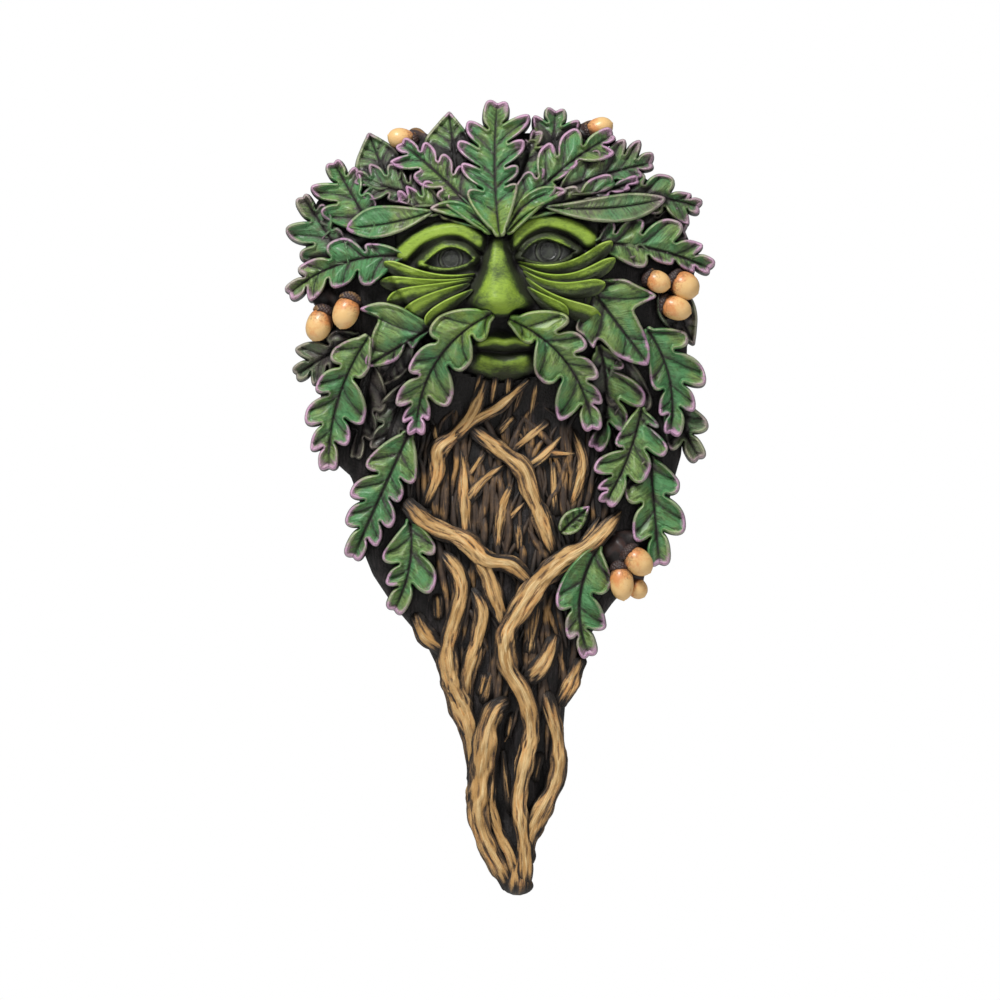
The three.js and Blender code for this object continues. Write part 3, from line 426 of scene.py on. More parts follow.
# Face: bands and lines of the carving, left then right as seen
NOSE_LINE = [
    (64, -2, 8, 4),
    (50, -2, 11, 11),
    (36, -2, 14, 17),
    (20, -1, 19, 25),
    (6, -1, 23, 30),
    (-4, 0, 24, 31),
    (-12, 0, 19, 22),
    (-20, 0, 11, 2),
]
BROWS = [
    [(-21, 58), (-40, 69), (-62, 67), (-82, 59), (-96, 46)],
    [(15, 57), (25, 69), (42, 77), (61, 76), (78, 69), (89, 59)],
]
LID_CREASES = [
    [(-19, 46), (-36, 59), (-54, 62), (-72, 56), (-90, 40)],
    [(16, 49), (29, 63), (47, 70), (66, 64), (84, 50)],
]
UPPER_LIDS = [
    [(-25, 40), (-35, 49), (-50, 53), (-63, 48), (-78, 35)],
    [(19, 42), (30, 55), (45, 61), (60, 57), (78, 48)],
]
LOWER_LIDS = [
    [(-25, 40), (-34, 34), (-50, 30), (-65, 31), (-78, 35)],
    [(19, 42), (32, 37), (48, 35), (62, 38), (78, 48)],
]
EYES = [
    {"name": "eye_left", "at": (-49, 40), "iris": 12.5, "pupil": 8.5},
    {"name": "eye_right", "at": (48, 48), "iris": 13.5, "pupil": 8.5},
]
FACE_SPAN = (-112, 107, -90, 92)
CHIN_ROUND = 0.006
NOSE_WINGS = [(-22, -5), (24, -4)]
NOSTRILS = [(-13, -14), (17, -14)]
FACE_BED = 30

# Rises and hollows of the face: inner corners of the eyes, root of the nose, cheeks, tip of the nose, and
# the groove above the lips; middle, reach across and up, and height
FACE_HILLS = [
    ((-21, 34), (6, 12), -7),
    ((17, 38), (6, 12), -7),
    ((-13, 56), (4, 10), -7),
    ((9, 57), (4, 10), -7),
    ((-62, 2), (34, 24), 9),
    ((66, 6), (34, 24), 9),
    ((-2, -1), (13, 12), 5),
    ((2, -28), (11, 7), -8),
]

# Lips and the line between them: run, half width and height
MOUTH_LINES = [
    ([(-20, -45), (-8, -41), (4, -43), (16, -41), (28, -45)], 5, 8),
    ([(-18, -60), (4, -65), (26, -60)], 6.5, 8),
    ([(-24, -50), (4, -53), (32, -50)], 3, -6),
]

# Deep hollows between the lowest roots: middle and reach
BEARD_HOLLOWS = [((7, -450), (9, 26)), ((6, -520), (8, 22)), ((40, -478), (8, 28))]


def along_rows(rows, z):
    """Smooth curves through rows whose first column falls: the other columns, at each z."""
    rows = np.array(rows, float)
    z = np.clip(z, rows[-1, 0], rows[0, 0])
    last = len(rows) - 1
    i = np.clip(np.searchsorted(-rows[:, 0], -z, side="right") - 1, 0, last - 1)
    after = rows[np.minimum(np.arange(last + 1) + 1, last)]
    before = rows[np.maximum(np.arange(last + 1) - 1, 0)]
    slope = (after - before)[:, 1:] / (after - before)[:, :1]
    run = (rows[i + 1, 0] - rows[i, 0])[..., None]
    t = (z - rows[i, 0])[..., None] / run
    start = rows[i, 1:]
    end = rows[i + 1, 1:]
    blend = start + (end - start) * t * t * (3 - 2 * t)
    return blend + run * t * (1 - t) * (slope[i] * (1 - t) - slope[i + 1] * t)


def ground_depth(x, z):
    middle, half, edge, centre = np.moveaxis(along_rows(GROUND, z), -1, 0)
    t = np.minimum(np.abs(x - middle) / half, 1)
    return edge + (centre - edge) * (1 - t * t)


def ground_sides(z):
    rows = np.array(GROUND_EDGE, float)[::-1]
    return np.interp(z, rows[:, 0], rows[:, 1]), np.interp(z, rows[:, 0], rows[:, 2])


def smooth_step(value, low, high):
    t = np.clip((value - low) / (high - low), 0, 1)
    return t * t * (3 - 2 * t)


def hill(x, z, at, size):
    return np.exp(-(((x - at[0]) / size[0]) ** 2) - ((z - at[1]) / size[1]) ** 2)


def bell(value, width, power=2):
    """1 where a value is 0, falling away smoothly past a width."""
    return np.exp(-((value / width) ** power))


def bed_depth(x, z, step):
    """Where a carved piece ends behind: buried in the ground, or near the wall plane outside it."""
    left, right = ground_sides(z)
    inside = np.minimum(np.minimum(x - left, right - x), GROUND_EDGE[0][0] - z)
    share = smooth_step(inside, 3, 12)
    return share * (ground_depth(x, z) - BURIED) + (1 - share) * step


def distance_to(line, points, closed=False):
    """Distance from each point to a run of straight pieces."""
    line = np.asarray(line, float)
    start = line if closed else line[:-1]
    run = (np.roll(line, -1, axis=0) if closed else line[1:]) - start
    off = points[:, None] - start[None]
    t = np.clip((off * run).sum(-1) / np.maximum((run * run).sum(-1), 1e-9), 0, 1)
    return np.sqrt(((off - t[..., None] * run) ** 2).sum(-1)).min(1)


def is_inside(outline, points):
    x, z = points[:, 0, None], points[:, 1, None]
    ax, az = outline.T
    bx, bz = np.roll(outline, -1, axis=0).T
    rise = np.where(np.abs(bz - az) < 1e-12, 1e-12, bz - az)
    crossed = ((az > z) != (bz > z)) & (x < ax + (z - az) * (bx - ax) / rise)
    return crossed.sum(1) % 2 == 1


def curve_through(points, per=CURVE_STEPS, closed=False):
    """Smooth curve through points, with `per` steps between each two."""
    points = np.asarray(points, float)
    count = len(points)
    made = []
    for i in range(count if closed else count - 1):
        around = [i - 1, i, i + 1, i + 2]
        around = [k % count if closed else min(max(k, 0), count - 1) for k in around]
        p0, p1, p2, p3 = points[around]
        for k in range(per):
            t = k / per
            bend = (2 * p0 - 5 * p1 + 4 * p2 - p3) * t * t
            made.append(0.5 * (2 * p1 + (p2 - p0) * t + bend + (3 * p1 - p0 - 3 * p2 + p3) * t ** 3))
    if not closed:
        made.append(points[-1])
    return np.array(made)


def gap_to(line, x, z):
    """Distance from each point to the smooth curve through a line's points."""
    flat = np.stack([x.ravel(), z.ravel()], 1)
    return distance_to(curve_through(line), flat).reshape(x.shape)


def lengths_along(line):
    """How far along a run each of its points lies."""
    return np.concatenate([[0], np.cumsum(np.linalg.norm(np.diff(line, axis=0), axis=1))])


def directions(runs):
    return runs / np.maximum(np.linalg.norm(runs, axis=-1, keepdims=True), 1e-9)


def even_steps(line, step):
    """Points along a run at about one step from each other."""
    line = np.asarray(line, float)
    far = lengths_along(line)
    at = np.linspace(0, far[-1], max(2, int(round(far[-1] / step)) + 1))
    return np.stack([np.interp(at, far, line[:, k]) for k in range(line.shape[1])], 1)


def outward(loop):
    """Directions that point out of a loop running anticlockwise."""
    run = directions(np.roll(loop, -1, axis=0) - np.roll(loop, 1, axis=0))
    return np.stack([run[:, 1], -run[:, 0]], 1)


def turned(points, triangles):
    """The triangles, each running anticlockwise."""
    a, b, c = points[triangles].transpose(1, 2, 0)
    wrong = (b[0] - a[0]) * (c[1] - a[1]) < (b[1] - a[1]) * (c[0] - a[0])
    triangles[wrong] = triangles[wrong][:, ::-1]
    return triangles


def triangulate(points, rim):
    """Points and triangles of the area inside the first `rim` points."""
    edges = [(k, (k + 1) % rim) for k in range(rim)]
    found = delaunay_2d_cdt([Vector(p) for p in points], edges, [], 1, 1e-6)
    made = np.array([tuple(p) for p in found[0]])
    return made, turned(made, np.array(found[2])), found[3]


def rim_of(triangles):
    edges = set()
    for a, b, c in triangles.tolist():
        edges |= {(a, b), (b, c), (c, a)}
    ahead = {a: b for a, b in edges if (b, a) not in edges}
    start = min(ahead)
    rim = [start]
    while ahead[rim[-1]] != start:
        rim.append(ahead[rim[-1]])
        if len(rim) > len(ahead):
            raise ValueError("an outline touches itself")
    return np.array(rim)


def grid_inside(outline, step):
    """Points of a triangular net inside an outline."""
    low, high = outline.min(0), outline.max(0)
    rows = np.arange(low[1], high[1], step * 0.866)
    points = []
    for k, z in enumerate(rows):
        x = np.arange(low[0] + (k % 2) * step / 2, high[0], step)
        points.append(np.stack([x, np.full_like(x, z)], 1))
    points = np.concatenate(points)
    return points[is_inside(outline, points)]


def fill(outline, lines, step, rings):
    """Points and triangles inside an outline, closer along its rim and on the given lines."""
    pull = -outward(outline)
    extra = []
    for gap in rings:
        ring = outline + pull * gap
        extra.append(ring[is_inside(outline, ring) & (distance_to(outline, ring, True) > 0.92 * gap)])
    for line in lines:
        line = even_steps(line, step)
        extra.append(line[is_inside(outline, line) & (distance_to(outline, line, True) > 1.2)])
    net = grid_inside(outline, step)
    net = net[distance_to(outline, net, True) > rings[-1] + 0.6 * step]
    for line in lines:
        if len(net):
            net = net[distance_to(line, net) > 0.55 * step]
    points = np.concatenate([outline, *extra, net])
    points, triangles, _ = triangulate(points, len(outline))
    return points, triangles, rim_of(triangles)


def on_map(x, z, strip, corners):
    """Places on a strip of the bake map for points of the drawing that lie between two corners."""
    base, height = strip
    low, high = corners
    across = (x - low[0]) / (high[0] - low[0])
    return np.stack([across, base + height * (z - low[1]) / (high[1] - low[1])], -1)


def in_scene(points):
    """Points or directions (x, z, depth) of the drawing, as the scene's (x, y, z)."""
    return np.asarray(points)[:, [0, 2, 1]] * (1, -1, 1)


def as_drawn(flat):
    return flat.T


def bent(start, middle, end, t):
    """Places at shares t of a run that bends towards a point beside its middle."""
    return (1 - t) ** 2 * start + 2 * t * (1 - t) * middle + t * t * end


class Carving:
    """One piece of the casting: closed shells on the drawing, places on the bake map, and paint marks."""

    def __init__(self, name, finish, cells=1):
        self.name = name
        self.finish = finish
        self.cells = cells
        self.cell = 0
        self.points = []
        self.marks = {mark: [] for mark in ("edge", "groove", "side", "dull", "grain_u", "grain_v")}
        self.faces = []
        self.places = []
        self.count = 0

    def add_points(self, points, **marks):
        """Adds points (x, z, depth) and gives the number of the first one."""
        first = self.count
        self.points.append(points)
        for mark, kept in self.marks.items():
            kept.append(np.broadcast_to(np.asarray(marks.get(mark, 0.0), float), (len(points),)))
        self.count += len(points)
        return first

    def add_run(self, run, level):
        """Adds a run of points behind the rim, at one level or one each, and gives their numbers."""
        points = np.column_stack([run, np.broadcast_to(level, len(run))])
        # Points behind the rim are marked as sides: the casting's dark sides, darkened further as painted
        # shade
        return self.add_points(points, side=1.0, dull=1.0) + np.arange(len(run))

    def add_faces(self, faces, places):
        """Adds faces, with a place on the map's strip of this shell for each corner."""
        places = np.array(places, float)
        places[..., 0] = (self.cell + 0.01 + 0.98 * places[..., 0]) / self.cells
        self.faces += np.asarray(faces).tolist()
        self.places.append(places.reshape(-1, 2))

    def add_net(self, number, places):
        """Adds the squares of a net of points whose rows run down and whose columns run to the right."""
        corners = [(slice(0, -1), slice(0, -1)), (slice(1, None), slice(0, -1)),
                   (slice(1, None), slice(1, None)), (slice(0, -1), slice(1, None))]
        self.add_faces(np.stack([number[at] for at in corners], -1).reshape(-1, 4),
                       np.stack([places[at] for at in corners], -2).reshape(-1, 4, 2))

    def add_bed(self, x, z, depth, corners, **marks):
        """Adds a net of depths over the drawing, and gives the numbers and the points of its rim."""
        first = self.add_points(np.stack([x, z, depth], 2).reshape(-1, 3), **marks)
        number = first + np.arange(x.size).reshape(x.shape)
        self.add_net(number, on_map(x, z, FRONT_STRIP, corners))
        rim = np.concatenate([number[:, 0], number[-1, 1:], number[-2::-1, -1], number[0, -2:0:-1]])
        return rim, np.stack([x, z], 2).reshape(-1, 2)[rim - first]

    def add_tube(self, points, heights, **marks):
        """Adds rings of points joined to a tube, and gives their numbers and places, wrapped round."""
        rings, around = points.shape[:2]
        number = self.add_points(points.reshape(-1, 3), **marks) + np.arange(rings * around)
        number = number.reshape(rings, around)
        wrapped = np.concatenate([number, number[:, :1]], 1)
        places = np.stack(np.meshgrid(np.linspace(0, 1, around + 1), heights), -1)
        self.add_net(wrapped.T, places.transpose(1, 0, 2))
        return wrapped, places

    def add_wall(self, upper, lower, level=0):
        """Adds a wall between two closed runs of points, on one of the walls' strips of the map."""
        share = np.linspace(0, 1, len(upper) + 1)
        after = np.roll(np.arange(len(upper)), -1)
        top = WALLS_TOP - WALL_STRIP * level
        bottom = top - 0.9 * WALL_STRIP
        corners = [(share[:-1], top), (share[:-1], bottom), (share[1:], bottom), (share[1:], top)]
        places = np.stack([np.stack([s, np.full_like(s, v)], 1) for s, v in corners], 1)
        self.add_faces(np.stack([upper, lower, lower[after], upper[after]], 1), places)

    def add_lid(self, flat, numbers, corners, rim, lie=as_drawn, hole=None):
        """Closes a shell behind with triangles between numbered points, the first of which are its rim."""
        made, faces, source = triangulate(flat, rim)
        if hole is not None:
            faces = faces[~is_inside(hole, made[faces].mean(1))]
        faces = np.array([names[0] for names in source])[faces][:, ::-1]
        self.add_faces(numbers[faces], on_map(*lie(flat), BACK_STRIP, corners)[faces])

    def next_shell(self):
        self.cell += 1

    def piece(self):
        mesh = bpy.data.meshes.new(self.name)
        mesh.from_pydata(in_scene(np.concatenate(self.points)) * UNIT, [], self.faces)
        places = np.concatenate(self.places)
        mesh.uv_layers.new(name="OFBake").data.foreach_set("uv", places.astype(np.float32).ravel())
        marks = {mark: np.concatenate(kept) for mark, kept in self.marks.items()}
        grain = np.stack([marks.pop("grain_u"), marks.pop("grain_v")], 1)
        if grain.any():
            corners = np.empty(len(mesh.loops), np.int32)
            mesh.loops.foreach_get("vertex_index", corners)
            layer = mesh.uv_layers.new(name="grain")
            layer.data.foreach_set("uv", grain[corners].astype(np.float32).ravel())
        for mark, values in marks.items():
            if values.any():
                mark_mesh(mesh, mark, values)
        mesh.uv_layers.active_index = 0
        return show(mesh, self.name, self.finish)


def mark_mesh(mesh, mark, values):
    layer = mesh.attributes.new(mark, "FLOAT", "POINT")
    layer.data.foreach_set("value", np.asarray(values, np.float32))


def add_object(name, data):
    made = bpy.data.objects.new(name, data)
    bpy.context.scene.collection.objects.link(made)
    return made


def show(mesh, name, finish):
    mesh.shade_smooth()
    mesh.set_sharp_from_angle(angle=math.radians(SHARP_EDGE))
    mesh.materials.clear()
    mesh.materials.append(finish)
    return add_object(name, mesh)


def relief_shell(carving, outline, lines, step, lie, depth, behind, marks, flare=WALL_FLARE,
                 rings=(0.5, 1.2, 2.1, 3.2)):
    """A shell whose front lies inside an outline, with walls going back from its rim to what is behind."""
    flat, triangles, rim = fill(outline, lines, step, rings)
    gap = distance_to(flat[rim], flat, True)
    x, z = lie(flat)
    front = depth(flat, x, z, gap)
    corners = (x.min(), z.min()), (x.max(), z.max())
    first = carving.add_points(np.stack([x, z, front], 1), **marks(flat, x, z, gap))
    carving.add_faces(first + triangles, on_map(x, z, FRONT_STRIP, corners)[triangles])
    loop = flat[rim]
    push = outward(loop)
    edge = front[rim]
    back = behind(*lie(loop))
    levels = (np.maximum(edge - 1.3, 0.8 * edge + 0.2 * back), 0.6 * edge + 0.4 * back, back)
    upper = first + rim
    for k, spread in enumerate((0.25, 0.3 * flare, flare)):
        lower = carving.add_run(np.stack(lie(loop + push * spread), 1), levels[k])
        carving.add_wall(upper, lower, k)
        upper = lower
    inner = grid_inside(loop, 9)
    inner = inner[distance_to(loop, inner, True) > 4]
    inside = carving.add_run(np.stack(lie(inner), 1), behind(*lie(inner)))
    numbers = np.concatenate([lower, inside])
    carving.add_lid(np.concatenate([loop, inner]), numbers, corners, len(loop), lie)
    carving.next_shell()


def rib_points(spec, share):
    """The midrib of a leaf at shares of its length: points, and directions to its left."""
    stem, tip = np.array(spec["stem"], float), np.array(spec["tip"], float)
    run = tip - stem
    middle = (stem + tip) / 2 + 2 * spec["bow"] * np.array([-run[1], run[0]])
    t = np.asarray(share, float)[..., None]
    ahead = directions((1 - t) * (middle - stem) + t * (tip - middle))
    return bent(stem, middle, tip, t), np.stack([-ahead[..., 1], ahead[..., 0]], -1)


def rib_length(spec):
    return lengths_along(rib_points(spec, np.linspace(0, 1, 31))[0])[-1]


def on_leaf(spec, length, point):
    """How far along a leaf's midrib and how far to its left a point of the drawing lies."""
    share = np.linspace(-0.1, 1.1, 241)
    points, left = rib_points(spec, share)
    off = np.array(point, float) - points
    k = int(np.argmin((off ** 2).sum(1)))
    return share[k] * length, float(off[k] @ left[k])


def vein_root(length, along, out):
    """Where the vein to a point of a leaf leaves the midrib: veins lean more towards the tip."""
    return (along - VEIN_LEAN[0] * out) / (1 + VEIN_LEAN[1] * out / length)


def lobed_side(spec, length, tips):
    """One side of a lobed leaf: lobes that lean forwards along their veins, with a narrow bay after each."""
    places = [on_leaf(spec, length, tip) for tip in tips]
    reach = [(along, abs(out)) for along, out in places]
    mean = sum(out for _, out in reach) / len(reach)
    end = min(0.42 * mean, 0.13 * length)
    lobes = [(vein_root(length, along, out), out) for along, out in reach]
    last = vein_root(length, length - 1.1 * end, end)
    lobes.append((max(last, 0.5 * (lobes[-1][0] + length)), end))
    start, low = 0.02 * length, 0.05 * length
    side = [(0, 0.03 * length)]
    for k, (at, out) in enumerate(lobes):
        stop, bay = length, 0
        if k + 1 < len(lobes):
            after, next_out = lobes[k + 1]
            stop = at + (after - at) * (0.3 + 0.4 * out / (out + next_out))
            bay = spec["bay"] * min(out, 1.3 * next_out)
        for share in np.linspace(-1, LOBE_FILL, 60):
            foot, run = (low, at - start) if share < 0 else (bay, stop - at)
            t = min(abs(share) / LOBE_FILL, 1)
            swell = (1 - t ** 1.3) ** 0.8 if k == 0 and share < 0 else (1 - t ** 2.6) ** 0.55
            r = foot + (out - foot) * swell
            u = at + share * run
            side.append((u + (VEIN_LEAN[0] + VEIN_LEAN[1] * u / length) * r, r))
        start, low = stop, bay
    return side


PLAIN_SIDES = {
    "lance": [(0.02, 0.1), (0.2, 0.5), (0.45, 0.9), (0.7, 1), (0.89, 0.6)],
    "frond": [(0.02, 0.15), (0.25, 0.5), (0.5, 0.82), (0.72, 1), (0.88, 0.92), (0.96, 0.55)],
    "ovate": [(0, 0.3), (0.13, 0.74), (0.36, 1), (0.6, 0.86), (0.82, 0.44), (0.94, 0.16)],
}


def leaf_outline(spec, length):
    """A leaf's outline as (along, out), anticlockwise, with its midrib straight."""
    plain = PLAIN_SIDES.get(spec["kind"])
    if plain:
        left, right = ([(s * length, reach * width) for s, reach in plain] for width in spec["width"])
    elif not spec["rim"]:
        left, right = (lobed_side(spec, length, spec[hand]) for hand in ("left", "right"))
    if spec["rim"]:
        loop = [on_leaf(spec, length, point) for point in spec["rim"]]
    else:
        loop = [(along, -out) for along, out in right] + [(length, 0)] + left[::-1]
    if plain or spec["rim"]:
        loop = curve_through(loop, closed=True)
    loop = even_steps(np.concatenate([loop, loop[:1]]), OUTLINE_STEP)[:-1]
    return (np.roll(loop, 1, axis=0) + 2 * loop + np.roll(loop, -1, axis=0)) / 4


def leaf_veins(spec, length):
    """Side veins of a leaf, from its midrib towards its lobes, and the tips where lilac paint gathers."""
    plain = spec["kind"] in PLAIN_SIDES
    if plain:
        shares = (0.2, 0.42, 0.62) if spec["kind"] == "ovate" else (0.3, 0.5, 0.68)
        ends = [(share * length + 0.62 * width, sign * 0.66 * width)
                for width, sign in zip(spec["width"], (1, -1)) for share in shares]
    else:
        ends = [on_leaf(spec, length, tip) for tip in (*spec["left"], *spec["right"])]
    veins = []
    for along, out in ends:
        start = max(vein_root(length, along, abs(out)) - 0.3 * abs(out), 0.04 * length)
        end = np.array([start + 0.86 * (along - start), 0.86 * out])
        bend = np.array([start + 0.62 * (end[0] - start), 0.42 * end[1]])
        veins.append(bent(np.array([start, 0]), bend, end, np.linspace(0, 1, 9)[:, None]))
    tip = (length, 0)
    return veins, np.array([tip] if plain else [*ends, tip])


def carve_leaf(carving, spec, order):
    length = rib_length(spec)
    outline = leaf_outline(spec, length)
    veins, tips = leaf_veins(spec, length)
    midrib = np.array([(0.02 * length, 0), (0.97 * length, 0)])
    form = SLIM_LEAF if spec["kind"] in ("lance", "frond") else BROAD_LEAF
    wide = np.abs(outline[:, 1]).max()
    hand = 1 if spec["tip"][0] < spec["stem"][0] else -1

    def lie(flat):
        points, left = rib_points(spec, flat[:, 0] / length)
        return (points + left * flat[:, 1:]).T

    def near_veins(flat):
        return np.min([distance_to(vein, flat) for vein in veins], 0)

    def depth(flat, x, z, gap):
        share = np.clip(flat[:, 0] / length, 0, 1)
        out = np.abs(flat[:, 1])
        base = ground_depth(x, z) + spec["lift"][0] + (spec["lift"][1] - spec["lift"][0]) * share
        if spec["on_face"]:
            across = out / np.maximum(wide * np.sin(math.pi * np.clip(0.12 + 0.85 * share, 0, 1)), 1)
            crown = np.sqrt(np.clip(1 - across ** 2, 0, 1))
            upper = np.clip(-flat[:, 1] * hand / wide, -1, 1)
            ridge = 1.6 * bell(gap - 1.3, 0.9) * smooth_step(upper, 0, 0.3)
            bed = face_relief(x, z) + 10 * smooth_step(np.abs(x), 66, 116)
            return base + bed + 1.6 * crown + 4.5 * upper + ridge - 1.2 * bell(upper + 0.1, 0.18)
        vein = near_veins(flat)
        valley = -RIB_VALLEY * bell(out, 0.3 * wide + 2) * np.sin(math.pi * share)
        puff = form["puff"] * (1 - bell(np.minimum(vein, out), 6.5))
        cut = 1.6 * bell(out, 1.1) * smooth_step(share, 1.0, 0.9)
        cut = cut + form["vein_cut"] * bell(vein, 1.0) + form["rim_cut"] * bell(gap - 4.6, 1.8)
        beads = 0.8 * bell(out - 2.6, 1.1) * smooth_step(share, 0.98, 0.8)
        roll = form["roll"] * bell(gap - 2, 1.5)
        wave = form["wave"] * np.sin(flat[:, 0] / 8.5 + order) * (out / max(wide, 1)) ** 2
        round_over = 3 * (1 - np.sqrt(np.maximum(1 - (1 - np.clip(gap / 2.2, 0, 1)) ** 2, 0)))
        return base + valley + puff + beads + roll + wave - cut - round_over

    def marks(flat, x, z, gap):
        out = np.abs(flat[:, 1])
        share = np.clip(flat[:, 0] / length, 0, 1)
        if spec["on_face"]:
            # Fronds: painted light on the upper side, painted shade on the lower side, with a dark line along
            # the middle
            upper = -flat[:, 1] * hand / wide
            edge = 0.2 + 0.8 * smooth_step(upper, -0.5, 0.5)
            groove = np.maximum(0.85 * smooth_step(-upper, 0, 0.75), 0.6 * bell(upper + 0.1, 0.15))
        else:
            vein = near_veins(flat)
            to_tip = np.min(np.linalg.norm(flat[:, None] - tips[None], axis=2), 1)
            at_tip = bell(to_tip, min(max(0.12 * length, 8), 15), 4) * (0.35 + 0.65 * share)
            edge = 0.3 * bell(gap - 1.4, 1.4) + 0.9 * at_tip * bell(gap, 7)
            edge = edge * min(1, 1.3 - spec["dull"])
            # Painted shade in the hollows along the veins
            shade = form["shade"] * bell(np.minimum(out, vein), 5) * smooth_step(gap, 0, 5)
            rib = bell(out, 1.2) * smooth_step(share, 1.0, 0.85)
            groove = np.maximum(np.maximum(rib, form["vein_line"] * bell(vein, 1.1)), shade)
        return {
            "edge": edge,
            "groove": groove,
            "dull": spec["dull"],
            "grain_u": vein_root(length, flat[:, 0], out) + 400 * (flat[:, 1] > 0) + 1000 * order,
            "grain_v": out + 1,
        }

    relief_shell(carving, outline, [midrib, *veins], form["step"], lie, depth,
                 lambda x, z: bed_depth(x, z, 0.4 + 0.05 * order), marks)


def bark(angle, far, radius, seed):
    """Ridges of bark round and along a root, and how deep in a groove each place lies."""
    drift = 1.3 * np.sin(far / 19 + seed) + 0.9 * np.sin(far / 8.3 + 2.1 * seed)
    wide = np.cos(4.3 * angle + drift + seed) * np.sin(far / 23 + 1.3 * seed + angle)
    middle = np.cos(7.1 * angle - 1.4 * drift + 2 * seed)
    fine = np.cos(12.7 * angle + 2.3 * drift - seed) * np.sin(far / 6.1 + 3 * angle + seed)
    ridge = 0.45 * wide + 0.4 * middle + 0.35 * fine
    return 0.15 * radius * ridge, smooth_step(-ridge, 0, 0.7)


def carve_root(carving, run, radius, lift, order, dull):
    """A root with a round, grooved back, which stands on the ground and fades out at its ends."""
    line = even_steps(curve_through(run, 12), 2.2)
    far = lengths_along(line)
    r = np.interp(np.linspace(0, 1, len(line)), np.linspace(0, 1, len(radius)), radius)
    r = r * (1 + 0.09 * np.sin(far / 9 + order) + 0.06 * np.sin(far / 4.3 + 2 * order))
    to_end = np.minimum(far, far[-1] - far)
    blunt = to_end / np.maximum(0.8 * r, 1)
    r = r * np.sqrt(np.clip(1 - (1 - np.clip(blunt + 0.03, 0, 1)) ** 2, 0.02, 1))
    reach = min(15, 0.3 * far[-1])
    ahead = directions(np.gradient(line, axis=0))
    angle, along = np.meshgrid(np.radians(np.linspace(-ROOT_SPREAD, ROOT_SPREAD, ROOT_SIDES)), far)
    thick = np.repeat(r[:, None], ROOT_SIDES, 1)
    ridge, groove = bark(angle, along, thick, order * 1.7)
    middle = ground_depth(line[:, 0], line[:, 1]) + lift - 3.5 * bell(to_end, 0.5 * reach)
    out = np.sin(angle) * (thick + ridge)
    depth = middle[:, None] + np.cos(angle) * (thick + ridge)
    points = np.stack([line[:, :1] + ahead[:, 1:] * out, line[:, 1:] - ahead[:, :1] * out, depth], 2)
    feet = points[:, [0, -1]]
    feet[..., 2] = np.minimum(bed_depth(feet[..., 0], feet[..., 1], 0.3), feet[..., 2] - 0.5)
    points = np.concatenate([feet[:, :1], points, feet[:, 1:]], 1)
    around = points.shape[1]

    def with_feet(values, **how):
        return np.pad(values, ((0, 0), (1, 1)), **how).ravel()

    wrapped, places = carving.add_tube(
        points,
        far / far[-1] * 0.98 + 0.01,
        groove=with_feet(groove, constant_values=1),
        # Painted shade: darker the further the flanks turn from the front, and at the ends where the root
        # sinks in
        side=with_feet(smooth_step(np.abs(angle), 0.1, 1.3), constant_values=1),
        dull=np.repeat(np.maximum(dull, bell(to_end, reach)), around),
        grain_u=with_feet(angle * thick, mode="edge") + 40.0 * order,
        grain_v=with_feet(along, mode="edge"),
    )
    for ring, row in ((wrapped[0, -2::-1], 0), (wrapped[-1, :-1], -1)):
        carving.add_faces([ring], np.repeat(places[row, :1], around, 0)[None])
    carving.next_shell()


def eyeball(x, z, at):
    """How far an eye swells out of the hollow round it."""
    return 11 * hill(x, z, at, (30, 18)) - 9 * hill(x, z, at, (40, 20))


def face_relief(x, z):
    """How far the face stands off the ground: brows, eyes, nose, cheeks, lips and chin."""
    flat = np.stack([x.ravel(), z.ravel()], 1)
    depth = np.full(x.shape, float(FACE_LIFT))
    for brow, crease, upper, lower, eye in zip(BROWS, LID_CREASES, UPPER_LIDS, LOWER_LIDS, EYES):
        depth += eyeball(x, z, eye["at"])
        depth += 10 * bell(gap_to(brow, x, z), 8.5, 4) - 4 * bell(gap_to(crease, x, z), 1.8)
        depth += 5.5 * bell(gap_to(upper, x, z), 5.4, 4) + 4.5 * bell(gap_to(lower, x, z), 3.6, 3)
        opening = np.concatenate([curve_through(upper), curve_through(lower)[-2:0:-1]])
        inside = is_inside(opening, flat) * distance_to(opening, flat, True)
        depth -= 9 * smooth_step(inside.reshape(x.shape), 0.6, 2.6)
    middle, half, rise = np.moveaxis(along_rows(NOSE_LINE, z), -1, 0)
    within = smooth_step(z, -21, -17) * smooth_step(z, 68, 58)
    depth += within * rise * bell(np.abs(x - middle), half, 3.6)
    for at, size, height in FACE_HILLS:
        depth += height * hill(x, z, at, size)
    for wing, nostril in zip(NOSE_WINGS, NOSTRILS):
        depth += 8 * hill(x, z, wing, (7, 8)) - 12 * hill(x, z, nostril, (5, 4))
    for line, half, height in MOUTH_LINES:
        depth += height * bell(gap_to(line, x, z), half)
    return depth - 12 * smooth_step(-z + 0.008 * (x - 4) ** 2, 74, 86)


def inside_face(x, z):
    """How far a place lies inside the face's border, which is rounded at the chin."""
    left, right, low, high = FACE_SPAN
    chin = low + CHIN_ROUND * (x - 4) ** 2
    return np.minimum(np.minimum(x - left, right - x), np.minimum(z - chin, high - z))


def smoothed(values, weights):
    """A grid of values, each averaged with its neighbours by weights, along both axes."""
    reach = len(weights) // 2
    for axis in (0, 1):
        size = values.shape[axis]
        wide = np.pad(values, [(reach, reach) if axis == k else (0, 0) for k in (0, 1)], mode="edge")
        parts = [w * np.take(wide, range(k, k + size), axis=axis) for k, w in enumerate(weights)]
        values = sum(parts) / sum(weights)
    return values


